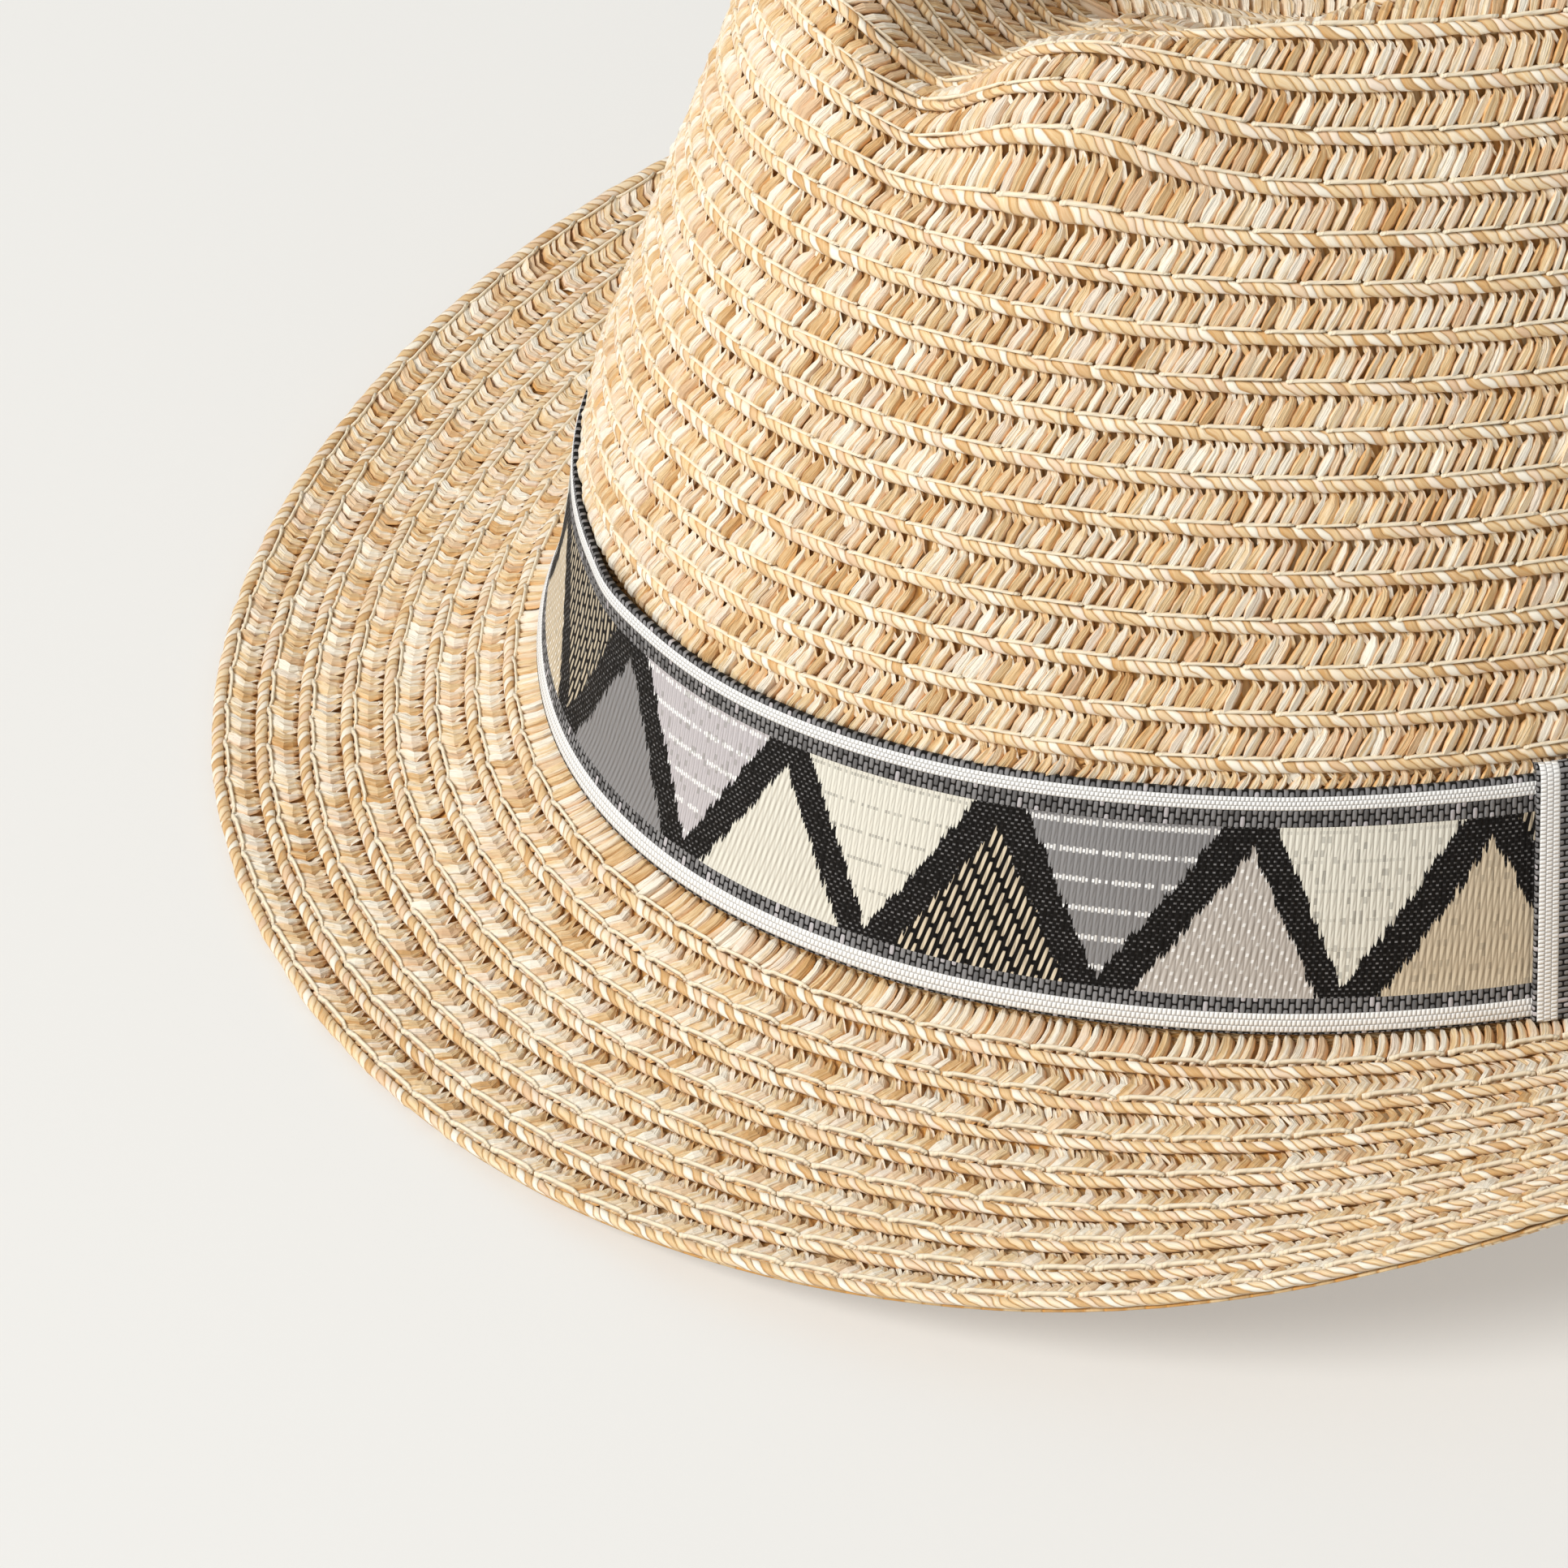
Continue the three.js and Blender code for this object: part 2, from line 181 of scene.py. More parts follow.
def press(x, y, z):
    """Presses the hollow and the two finger pinches with their rises into the top."""
    across = np.abs(x)
    turn = math.radians(PINCH["angle"])
    nx, ny = math.sin(turn), -math.cos(turn)
    beside = (across - PINCH["x"]) * -ny + (y - PINCH["y"]) * nx
    pinch = (np.exp(-0.5 * (beside / PINCH["width"]) ** 2) * smoothstep(z, PINCH["from"], PINCH["to"])
             * smoothstep(across, PINCH["inner"], PINCH["outer"]))
    forward = (y - HOLLOW["centre"]) / HOLLOW["half_length"]
    sideways = np.minimum(across / (HOLLOW["half_width"] * (1 - HOLLOW["taper"] * forward)), 1)
    endways = np.minimum(np.abs(forward), 1)
    hollow = (np.cos(math.pi / 2 * sideways ** HOLLOW["steepness"]) * np.cos(math.pi / 2 * endways)) ** 2
    from_rise = np.hypot(across - FOLD_RISE["x"], y - FOLD_RISE["y"]) / FOLD_RISE["width"]
    rise = np.exp(-0.5 * from_rise ** 2) * smoothstep(z, FOLD_RISE["from"], FOLD_RISE["to"])
    z = z - PINCH["drop"] * pinch + FOLD_RISE["height"] * rise
    depth = PINCH["depth"] * pinch
    return (np.sign(x) * (across - depth * nx), y - depth * ny, z - (z - HOLLOW["floor"]) * hollow)


def crown(angle, along):
    """Points of the crown, `along` millimetres up from the level of the opening."""
    s = Section(angle)
    straight = np.minimum(along, s.wall)
    turned = np.clip((along - s.wall) / s.shoulder, 0, s.bend)
    flat = np.maximum(0, along - s.wall - s.shoulder * s.bend)
    front = (0.5 + 0.5 * s.cos) ** 4 * (1 - np.clip((along - s.wall) / FRONT_FADE, 0, 1))
    tuck = front * (FRONT_LEAN * straight - FRONT_STAND * smoothstep(along, 0, FRONT_STAND_TO))
    belly = WALL_BELLY * np.sin(math.pi * np.clip(along / s.wall, 0, 1))
    inward = np.minimum(s.reach, (straight - s.break_at) * np.sin(s.slope)
                        + s.shoulder * (np.cos(s.slope) - np.cos(s.slope + turned)) + flat + tuck - belly)
    share = inward / s.reach
    rise = straight * np.cos(s.slope) + s.shoulder * (np.sin(s.slope + turned) - np.sin(s.slope))
    return stand(*press(s.x * (1 - share), s.y + (s.seam_y - s.y) * share, rise))


def brim(angle, out):
    """Points of the brim's top, `out` millimetres from the break."""
    start = stand(*break_point(angle))
    nx, ny = np.sin(angle) / OPENING_HALF_WIDTH, -np.cos(angle) / OPENING_HALF_LENGTH
    size = np.hypot(nx, ny)
    curl = np.radians(around_hat(BRIM_CURLS, angle))
    rise = around_hat(BRIM_EDGES, angle) - start[..., 2]
    first = np.arcsin((rise * curl / 2) / (BRIM_LENGTH * np.sin(curl / 2))) - curl / 2
    here = first + curl * out / BRIM_LENGTH
    radius = BRIM_LENGTH / curl
    reach = radius * (np.sin(here) - np.sin(first))
    lift = radius * (np.cos(first) - np.cos(here))
    return start + np.stack([nx / size * reach, ny / size * reach, lift], -1)


def raised(surface, angle, at, height, turn, step=FINE_STEP):
    """Points `height` millimetres off a surface; turn is 1 or -1, so that the normal leaves the straw."""
    swing = FINE_SWING
    here = surface(angle, at)
    up = surface(angle, at + step) - surface(angle, at - step)
    round_hat = surface(angle + swing, at) - surface(angle - swing, at)
    normal = np.cross(round_hat, up)
    normal /= np.maximum(np.linalg.norm(normal, axis=-1, keepdims=True), 1e-9)
    return here + turn * np.asarray(height)[..., None] * normal


def on_crown(angle, along, height, step=FINE_STEP):
    """Points off the crown. Near the tip seam the normal is taken a little way back from it."""
    safe = np.minimum(along, Section(angle).length - SEAM_MARGIN)
    shift = crown(angle, along) - crown(angle, safe)
    return raised(crown, angle, safe, height, 1, step) + shift


def on_brim(angle, out, height):
    return raised(brim, angle, out, height, -1)


def row_at(angle, row):
    """How far up the crown the lower edge of a plaited row lies."""
    s = Section(angle)
    last = FIRST_ROW + ROW_PITCH * WALL_ROWS - (1 - ROW_LEVELNESS) * (SIDE_BREAK - s.break_at)
    spare = np.maximum(0, row - WALL_ROWS) / (CROWN_ROWS - WALL_ROWS)
    return last + ROW_PITCH * np.minimum(0, row - WALL_ROWS) + spare * (s.length - last)


def ribbon_foot(angle):
    """How far up the crown the ribbon's lower edge lies."""
    rise = RIBBON_BACK_RISE * np.maximum(0, -np.cos(angle))
    return Section(angle).break_at + RIBBON_FROM_BREAK + rise


def hat_middle():
    """The middle of the outline seen from above, where the origin is."""
    angle = np.arange(SOLID_COLUMNS) * TURN / SOLID_COLUMNS
    rim = np.concatenate([on_brim(angle, BRIM_LENGTH + 0 * angle, 0 * angle),
                          on_brim(angle, BRIM_LENGTH + 0 * angle, -WALL + 0 * angle)])
    middle = (rim.min(0) + rim.max(0)) / 2
    return np.array([middle[0], middle[1], 0.0])


MIDDLE = hat_middle()


def in_frame(points):
    """Millimetres in the hat's own coordinates, as metres in the frame; nothing reaches below the floor."""
    placed = (points - MIDDLE) * MM
    placed[..., 2] = np.maximum(placed[..., 2], 0.0)
    return placed


# Settings

def colour_setting(name, description, default):
    return bpy.props.FloatVectorProperty(name=name, description=description, default=default,
                                         subtype="COLOR", size=3, min=0, max=1)


def length_setting(name, description, millimetres, least):
    return bpy.props.FloatProperty(name=name, description=description, default=millimetres * MM,
                                   min=least * MM, unit="LENGTH")


class BraidSettings(bpy.types.PropertyGroup):
    strand_pitch: length_setting("Strand pitch", "From one strand to the next along a row", 1.47, 0.5)
    cord_pitch: length_setting("Cord pitch", "From one turn of the cord's twist to the next", 1.35, 0.5)
    stitch_length: length_setting("Stitch length", "Length of one stitch of the sewing thread", 7.3, 1)
    thread_width: length_setting("Thread width", "Thickness of the sewing thread", 0.50, 0.1)
    seed: bpy.props.IntProperty(name="Seed", description="Starts the random spread of the strands", default=7)
    ivory: colour_setting("Ivory", "Lightest straw", (0.93, 0.865, 0.735))
    wheat: colour_setting("Wheat", "Middle straw", (0.82, 0.61, 0.345))
    honey: colour_setting("Honey", "Darkest straw", (0.62, 0.36, 0.14))
    rose: colour_setting("Rose", "Pinkish straw, in some of the strands", (0.84, 0.64, 0.50))
    # Painted shade: this warm colour goes on the lower flanks of the strands, the seams of the cord and the
    # dark end of the bed, where shade falls between strands.
    shade_amber: colour_setting("Amber", "Straw in the gaps, which light comes through", (0.78, 0.39, 0.10))
    thread: colour_setting("Thread", "Sewing thread", (0.90, 0.79, 0.60))


class RibbonSettings(bpy.types.PropertyGroup):
    float_pitch: length_setting("Float pitch", "From one lengthwise float of the weave to the next", 0.8, 0.2)
    black: colour_setting("Black", "Yarn of the zigzag", (0.006, 0.005, 0.0045))
    grey: colour_setting("Grey", "Yarn of the grey triangles and the mottled stripes", (0.27, 0.265, 0.27))
    lilac: colour_setting("Lilac", "Yarn of the pale grey triangles", (0.56, 0.53, 0.55))
    stone: colour_setting("Stone", "Yarn of the beige triangles", (0.58, 0.54, 0.50))
    tan: colour_setting("Tan", "Yarn of the warm beige triangles", (0.68, 0.58, 0.43))
    cream: colour_setting("Cream", "Yarn of the cream triangles", (0.80, 0.78, 0.69))
    white: colour_setting("White", "Yarn of the white stripes and dots", (0.95, 0.95, 0.94))


# Meshes

def link_mesh(name, points, faces, material, smooth=True, values=None, uv=None, layers=None):
    """A mesh object from arrays: points in metres, faces as equal lists of corners.

    `uv` holds a pair for every point, and `layers` pairs for every corner, by layer name."""
    mesh = bpy.data.meshes.new(name)
    loops = np.concatenate([np.asarray(f, np.int32).ravel() for f in faces])
    sizes = np.concatenate([np.full(len(f), np.asarray(f).shape[1], np.int32) for f in faces])
    starts = np.concatenate([[0], np.cumsum(sizes)[:-1]]).astype(np.int32)
    mesh.vertices.add(len(points))
    mesh.vertices.foreach_set("co", np.asarray(points, np.float32).ravel())
    mesh.loops.add(len(loops))
    mesh.loops.foreach_set("vertex_index", loops)
    mesh.polygons.add(len(sizes))
    mesh.polygons.foreach_set("loop_start", starts)
    mesh.polygons.foreach_set("use_smooth", np.full(len(sizes), smooth))
    for key, data in (values or {}).items():
        mesh.attributes.new(key, "FLOAT", "POINT").data.foreach_set("value", np.asarray(data, np.float32))
    if uv is not None:
        layer = mesh.uv_layers.new(name="strand")
        layer.data.foreach_set("uv", np.asarray(uv, np.float32)[loops].ravel())
    for key, data in (layers or {}).items():
        mesh.uv_layers.new(name=key).data.foreach_set("uv", np.asarray(data, np.float32).ravel())
    mesh.update(calc_edges=True)
    mesh.validate()
    mesh.materials.append(material)
    piece = bpy.data.objects.new(name, mesh)
    bpy.context.scene.collection.objects.link(piece)
    return piece


def grid_quads(count, size, strips=None):
    """Faces between `count` closed rings of `size` points each. Without `strips` the last meets the first."""
    i, j = np.indices((strips or count, size))
    here, after, up = i * size, (i + 1) % count * size, (j + 1) % size
    return np.stack([here + j, after + j, after + up, here + up], -1).reshape(-1, 4)


def settle(piece, slot, *nodes):
    """Puts a finished piece on the body and hides the solids it takes the place of; the slot is not used."""
    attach(piece, "root")
    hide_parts(*nodes)


def spindle(sides, rings):
    """A closed spindle modelled in edit mode: rings of one radius between two points, along Z from 0 to 1."""
    bpy.ops.object.select_all(action="DESELECT")
    bpy.ops.mesh.primitive_cylinder_add(vertices=sides, radius=0.5, depth=1, end_fill_type="TRIFAN",
                                        location=(0, 0, 0.5), rotation=(0, 0, math.pi / sides))
    piece = bpy.context.object
    bpy.ops.object.transform_apply(location=True, rotation=True, scale=True)
    bpy.ops.object.mode_set(mode="EDIT")
    for ring in range(1, rings - 1):
        bpy.ops.mesh.select_all(action="SELECT")
        bpy.ops.mesh.bisect(plane_co=(0, 0, ring / (rings - 1)), plane_no=(0, 0, 1))
    bpy.ops.object.mode_set(mode="OBJECT")
    points = np.array([v.co for v in piece.data.vertices])
    triangles = [list(p.vertices) for p in piece.data.polygons if len(p.vertices) == 3]
    quads = [list(p.vertices) for p in piece.data.polygons if len(p.vertices) == 4]
    bpy.data.objects.remove(piece)
    return points, np.array(triangles), np.array(quads)


STRIP_FACE = (-0.42, 0.10)  # a strand's flat top between its short and its long flank, as shares of its width
STILL_SHARE = 0.3  # the place on a strand that its lean turns about
SWAY_ARC = 3.1  # radians from a strand's foot to its tip
STRAND_ROLL = -0.12
STRAND_SHIFT, CORD_SHIFT = 400, 4000  # how far apart strands and cords lie in the pattern of the straw
SLIVER_CHANCE = 0.85


class Strand:
    """A tapered strand to be repeated: its points as station, across and over, with a table of its sections.

    Each section holds the place along the row, the place up the row, the height off the straw,
    the width and the thickness, in millimetres."""

    def __init__(self, sides, sections, roll=0.0):
        points, self.triangles, self.quads = spindle(sides, len(sections) - 2)
        radius = np.hypot(points[:, 0], points[:, 1])
        poles = radius < 1e-4
        last = len(sections) - 1
        station = 1 + points[:, 2] * (last - 2)
        station[poles & (points[:, 2] < 0.5)] = 0
        station[poles & (points[:, 2] > 0.5)] = last
        self.station = np.round(station).astype(int)
        self.across, self.over = -points[:, 0], points[:, 1]
        if sides == 4:
            right = self.across > 0
            self.across = np.where(right, 0.5, -0.5)
            self.across[self.over > 0] = np.where(right, STRIP_FACE[1], STRIP_FACE[0])[self.over > 0]
            self.over = np.sign(self.over) * 0.5
        self.across[poles] = 0
        self.over[poles] = 0
        self.sections = np.array(sections, float)
        self.roll = roll

    def shape(self, random, count, spread):
        """Every copy's points along the row, up it and off the straw, and where they lie on the strand."""
        line, width, thick = self.sections[:, :3], self.sections[:, 3], self.sections[:, 4]
        step = np.gradient(line, axis=0)
        step /= np.linalg.norm(step, axis=1, keepdims=True)
        side = np.stack([step[:, 1], -step[:, 0], 0 * step[:, 0]], 1)
        side /= np.maximum(np.linalg.norm(side, axis=1, keepdims=True), 1e-6)
        over = np.cross(side, step)
        widths = 1 + spread["width"] * random.standard_normal((count, 1))
        thicks = 1 + spread["thick"] * random.standard_normal((count, 1))
        rolls = self.roll + spread["roll"] * random.standard_normal((count, 1))
        lean = spread["lean"] * random.standard_normal((count, 1))
        lift = spread["lift"] * random.standard_normal((count, 1))
        sway = spread["sway"] * random.standard_normal((count, 1))
        k = self.station
        a = self.across * width[k] * widths
        o = self.over * thick[k] * thicks + a * rolls
        share = k / (len(width) - 1)
        astray = lean * (share - STILL_SHARE) + sway * np.sin(SWAY_ARC * share)
        along = line[k, 0] + a * side[k, 0] + o * over[k, 0] + astray
        up = line[k, 1] + a * side[k, 1] + o * over[k, 1]
        high = line[k, 2] + a * side[k, 2] + o * over[k, 2] + lift
        return along, up, high, a, share * np.ones_like(a)


def even_places(surface, at, pitch, angles=1440):
    """Angles of the strands of a row, spaced evenly along it, with how far a radian reaches there."""
    angle = np.linspace(0, TURN, angles + 1)
    path = surface(angle, at(angle))
    steps = np.linalg.norm(np.diff(path, axis=0), axis=1)
    travelled = np.concatenate([[0], np.cumsum(steps)])
    count = int(round(travelled[-1] / pitch))
    places = np.interp(np.arange(count) * travelled[-1] / count, travelled, angle)
    reach = np.interp(places, angle[:-1] + angle[1] / 2, steps / angle[1], period=TURN)
    return places, reach


class Plait:
    """Collects the strands of many rows into arrays for one mesh."""

    def __init__(self, random):
        self.random = random
        self.points, self.triangles, self.quads = [], [], []
        self.tone, self.tint, self.proud, self.uv = [], [], [], []
        self.total = 0

    def add(self, strand, points, tone, tint, across, share, length):
        count, size = points.shape[:2]
        first = self.total + np.arange(count)[:, None, None] * size
        self.triangles.append((first + strand.triangles[None]).reshape(-1, 3))
        if len(strand.quads):
            self.quads.append((first + strand.quads[None]).reshape(-1, 4))
        self.points.append(points.reshape(-1, 3))
        self.tone.append(np.repeat(tone, size))
        self.tint.append(np.repeat(tint, size))
        # Marks the strand's upper points, so that the material paints shade on its lower flanks.
        self.proud.append(np.tile(strand.over > 0, count))
        place = self.random.uniform(0, STRAND_SHIFT, (count, 2))
        self.uv.append(np.stack([across + place[:, :1], share * length + place[:, 1:]], -1).reshape(-1, 2))
        self.total += count * size

    def piece(self, name, material, smooth=False):
        faces = [np.concatenate(self.triangles)] + ([np.concatenate(self.quads)] if self.quads else [])
        return link_mesh(name, in_frame(np.concatenate(self.points)), faces, material, smooth,
                         values={"tone": np.concatenate(self.tone), "tint": np.concatenate(self.tint),
                                 "proud": np.concatenate(self.proud)},
                         uv=np.concatenate(self.uv))


# How far single strands depart from the table, as standard deviations
SPREAD = {"width": 0.17, "thick": 0.16, "roll": 0.24, "lean": 0.30, "lift": 0.07, "sway": 0.13}
LOOSE_SPREAD = dict(SPREAD, width=0.30, lean=0.45, sway=0.22)
STITCH_SPREAD = {"width": 0.06, "thick": 0.06, "roll": 0.02, "lean": 0.12, "lift": 0.03, "sway": 0.04}

# Sections of the strands: along the row, up the row, off the straw, width, thickness
CROWN_STRAND = [
    (-0.12, 1.45, -0.30, 0.0, 0.0), (0.00, 1.90, 0.06, 1.25, 0.55), (0.45, 3.00, 0.22, 1.55, 0.74),
    (1.12, 4.35, 0.12, 1.40, 0.72), (1.36, 5.20, -0.08, 0.85, 0.56), (0.85, 6.30, -0.55, 0.0, 0.0),
]
BRIM_STRAND = [
    (-0.40, 1.45, -0.25, 0.0, 0.0), (-0.15, 1.90, 0.05, 1.20, 0.55), (0.72, 2.80, 0.22, 1.55, 0.74),
    (1.42, 3.80, 0.14, 1.45, 0.72), (1.10, 4.95, -0.10, 1.00, 0.56), (0.40, 6.20, -0.60, 0.0, 0.0),
]
LAST_BRIM_STRAND = [
    (-0.40, 1.45, -0.25, 0.0, 0.0), (-0.10, 1.90, 0.05, 0.95, 0.50), (0.62, 3.00, 0.20, 1.40, 0.74),
    (1.00, 4.35, 0.15, 1.38, 0.72), (1.10, 5.60, 0.10, 1.15, 0.65), (1.00, 6.60, 0.00, 0.0, 0.0),
]
SLIVER = [
    (2.15, 3.60, -0.50, 0.0, 0.0), (1.85, 4.40, -0.16, 0.62, 0.36), (1.40, 5.30, -0.14, 0.80, 0.42),
    (0.80, 6.40, -0.62, 0.0, 0.0),
]
# Cross-section of a cord: up the row, off the straw
CORD_PROFILE = [
    (0.50, -0.65), (0.08, -0.28), (-0.02, 0.18), (0.28, 0.50), (0.80, 0.62), (1.28, 0.48), (1.60, 0.06),
    (1.35, -0.65),
]
CORD_STEP = 2.0  # between the columns of a cord
CORD_MIDDLE = 0.8  # up the row
CORD_WANDER = 0.07  # how far a cord strays from its line
CORD_STRAY_UP = 0.4  # the share of it that goes off the straw
CORD_SWELL = 0.05  # how far its thickness varies
TONE_CLUSTER = 9  # strands
TONE_MEAN, TONE_WAVE, TONE_SPREAD = 0.58, 0.04, 0.24


def tones(random, count):
    """A tone for every column of a row: clusters of like strands with single ones that stand out."""
    cluster = np.ones(TONE_CLUSTER) / math.sqrt(TONE_CLUSTER)
    wave = np.convolve(random.standard_normal(count + TONE_CLUSTER - 1), cluster, "valid")
    return np.clip(TONE_MEAN + TONE_WAVE * wave + TONE_SPREAD * random.standard_normal(count), 0, 1)


def lay_row(plait, strands, row, places, reach, keep=None):
    """Lays the strands of one row; each comes with its spread and how often it is laid."""
    random = plait.random
    count = len(places)
    for strand, spread, chance in strands:
        along, up, high, across, share = strand.shape(random, count, spread)
        tone = tones(random, count)
        tint = random.uniform(0, 1, count)
        angle = places[:, None] + along / reach[:, None]
        at = row.edge(angle) + up / ROW_PITCH * row.pitch(angle)
        chosen = random.uniform(0, 1, count) < chance
        if keep is not None:
            chosen &= keep(places, at)
        angle, at, high = angle[chosen], at[chosen], high[chosen]
        length = np.linalg.norm(np.diff(strand.sections[:, :2], axis=0), axis=1).sum()
        plait.add(strand, row.surface(angle, at, high), tone[chosen], tint[chosen], across[chosen],
                  share[chosen], length)


# Materials

def operator_pair(operation):
    """An operator of Wire and its reflected form."""
    def direct(self, other):
        return self.math(operation, self, other)

    def reflected(self, other):
        return self.math(operation, other, self)

    return direct, reflected


class Wire:
    """One output of a node. Arithmetic on it adds the Math nodes that the expression needs."""
    __add__, __radd__ = operator_pair("ADD")
    __sub__, __rsub__ = operator_pair("SUBTRACT")
    __mul__, __rmul__ = operator_pair("MULTIPLY")
    __truediv__ = operator_pair("DIVIDE")[0]
    __lt__, __gt__ = operator_pair("LESS_THAN")[0], operator_pair("GREATER_THAN")[0]
    highest, lowest = operator_pair("MAXIMUM")[0], operator_pair("MINIMUM")[0]

    def __init__(self, board, socket):
        self.board, self.socket = board, socket

    def math(self, operation, *values):
        node = self.board.tree.nodes.new("ShaderNodeMath")
        node.operation = operation
        for socket, value in zip(node.inputs, values):
            self.board.plug(socket, value)
        return Wire(self.board, node.outputs[0])

    def floor(self):
        return self.math("FLOOR", self)

    def fract(self):
        return self.math("FRACT", self)

    def abs(self):
        return self.math("ABSOLUTE", self)

    def power(self, exponent):
        return self.math("POWER", self.abs(), exponent)

    def between(self, low, high):
        """1 between the two values, 0 elsewhere."""
        return (self > low) * (self < high)

    def rise(self, low, high):
        """0 below low, 1 above high, smooth in between."""
        return self.board.node("ShaderNodeMapRange", {"interpolation_type": "SMOOTHSTEP"},
                               {"Value": self, "From Min": low, "From Max": high}, "Result")

    def tent(self):
        """0 in the middle between whole values, 1 at them."""
        return (self.fract() - 0.5).abs() * 2

    def hump(self, flatness):
        """1 where the value is a half, 0 where it is 0 or 1."""
        return 1 - (self * 2 - 1).power(flatness)


class Board:
    """The nodes of one material."""

    def __init__(self, name):
        self.material = bpy.data.materials.new(name)
        self.material.use_nodes = True
        self.tree = self.material.node_tree
        self.tree.nodes.clear()

    def plug(self, socket, value):
        if isinstance(value, Wire):
            self.tree.links.new(value.socket, socket)
        elif socket.type == "RGBA" and len(value) == 3:
            socket.default_value = (*value, 1)
        else:
            socket.default_value = value

    def node(self, kind, settings, sockets, result):
        """Adds a node, first its settings, then its sockets, and gives the wire of one output."""
        node = self.tree.nodes.new(kind)
        for key, value in settings.items():
            if key == "stops":
                self.set_stops(node.color_ramp, value)
            elif key == "interpolation":
                node.color_ramp.interpolation = value
            else:
                setattr(node, key, value)
        for key, value in sockets.items():
            self.plug(next(s for s in node.inputs if s.name == key and s.enabled), value)
        if result is None:
            return node
        return Wire(self, next(s for s in node.outputs if s.name == result and s.enabled))

    @staticmethod
    def set_stops(ramp, stops):
        while len(ramp.elements) < len(stops):
            ramp.elements.new(1)
        for element, (place, colour) in zip(ramp.elements, stops):
            element.position = place
            element.color = (*colour, 1)

    def attribute(self, name):
        return self.node("ShaderNodeAttribute", {"attribute_name": name}, {}, "Fac")

    def uv(self, name):
        return self.node("ShaderNodeUVMap", {"uv_map": name}, {}, "UV")

    def parts(self, vector):
        node = self.node("ShaderNodeSeparateXYZ", {}, {"Vector": vector}, None)
        return [Wire(self, node.outputs[i]) for i in range(3)]

    def join(self, x, y, z=0.0):
        return self.node("ShaderNodeCombineXYZ", {}, {"X": x, "Y": y, "Z": z}, "Vector")

    def noise(self, place, scale, detail=2.0, rough=0.5):
        return self.node("ShaderNodeTexNoise", {}, {"Vector": place, "Scale": scale, "Detail": detail,
                                                    "Roughness": rough}, "Fac")

    def speckle(self, x, y):
        """A random value for every pair of whole numbers."""
        return self.node("ShaderNodeTexWhiteNoise", {"noise_dimensions": "2D"},
                         {"Vector": self.join(x, y)}, "Value")

    def ramp(self, value, stops, interpolation="LINEAR"):
        return self.node("ShaderNodeValToRGB", {"interpolation": interpolation, "stops": stops},
                         {"Fac": value}, "Color")

    def mix_value(self, share, first, second):
        return self.node("ShaderNodeMix", {"data_type": "FLOAT"},
                         {"Factor": share, "A": first, "B": second}, "Result")

    def mix(self, share, first, second, blend="MIX"):
        return self.node("ShaderNodeMix", {"data_type": "RGBA", "blend_type": blend},
                         {"Factor": share, "A": first, "B": second}, "Result")

    def bump(self, height, distance, strength=1.0):
        return self.node("ShaderNodeBump", {}, {"Height": height, "Distance": distance,
                                                "Strength": strength}, "Normal")

    def finish(self, sockets):
        shader = self.node("ShaderNodeBsdfPrincipled", {}, sockets, "BSDF")
        output = self.tree.nodes.new("ShaderNodeOutputMaterial")
        self.tree.links.new(shader.socket, output.inputs["Surface"])
        return self.material


STRAW_SHEEN = {"Specular IOR Level": 0.4, "Sheen Weight": 0.12, "Sheen Roughness": 0.5}


def straw_material(name, braid):
    """Plaited paper straw: every strand has its own tone, fibres and creases, with painted light and shade on
    the creases and warm painted shade on its lower flanks in the gaps.
    """
    board = Board(name)
    across, along, _ = board.parts(board.uv("strand"))
    tone = board.attribute("tone")
    tint = board.attribute("tint")
    fibres = board.noise(board.join(across * 5.5, along * 0.30), 1.0, 3.0, 0.65)
    patches = board.noise(board.join(across * 0.5, along * 0.33), 1.0, 2.0)
    creases = board.noise(board.join(across * 2.2, along * 0.14), 1.0, 2.0, 0.55)
    # The creases lighten the colour on their ridges and darken it in their grooves, painted light and shade
    # that follow their bump; patches and fibres vary the straw's own tone.
    shade = tone + (patches - 0.5) * 0.6 + (creases - 0.5) * 1.2 + (fibres - 0.5) * 0.7
    colour = board.ramp(shade, straw_stops(braid))
    pink = board.mix(tint.rise(0.65, 0.95) * 0.4, colour, braid.rose)
    # Painted shade: towards the lower flanks of every strand the colour turns to the warm shade colour.
    flank_shade = (1 - board.attribute("proud")).power(1.3)
    warm = board.mix(flank_shade * 0.8, pink, braid.shade_amber)
    return board.finish({"Base Color": warm, "Roughness": 0.60 - fibres * 0.14, **STRAW_SHEEN,
                         "Normal": board.bump(creases + fibres * 0.45, 0.5 * MM, 0.9)})


def straw_stops(braid):
    return [(0.0, braid.honey), (0.42, braid.wheat), (0.85, braid.ivory)]


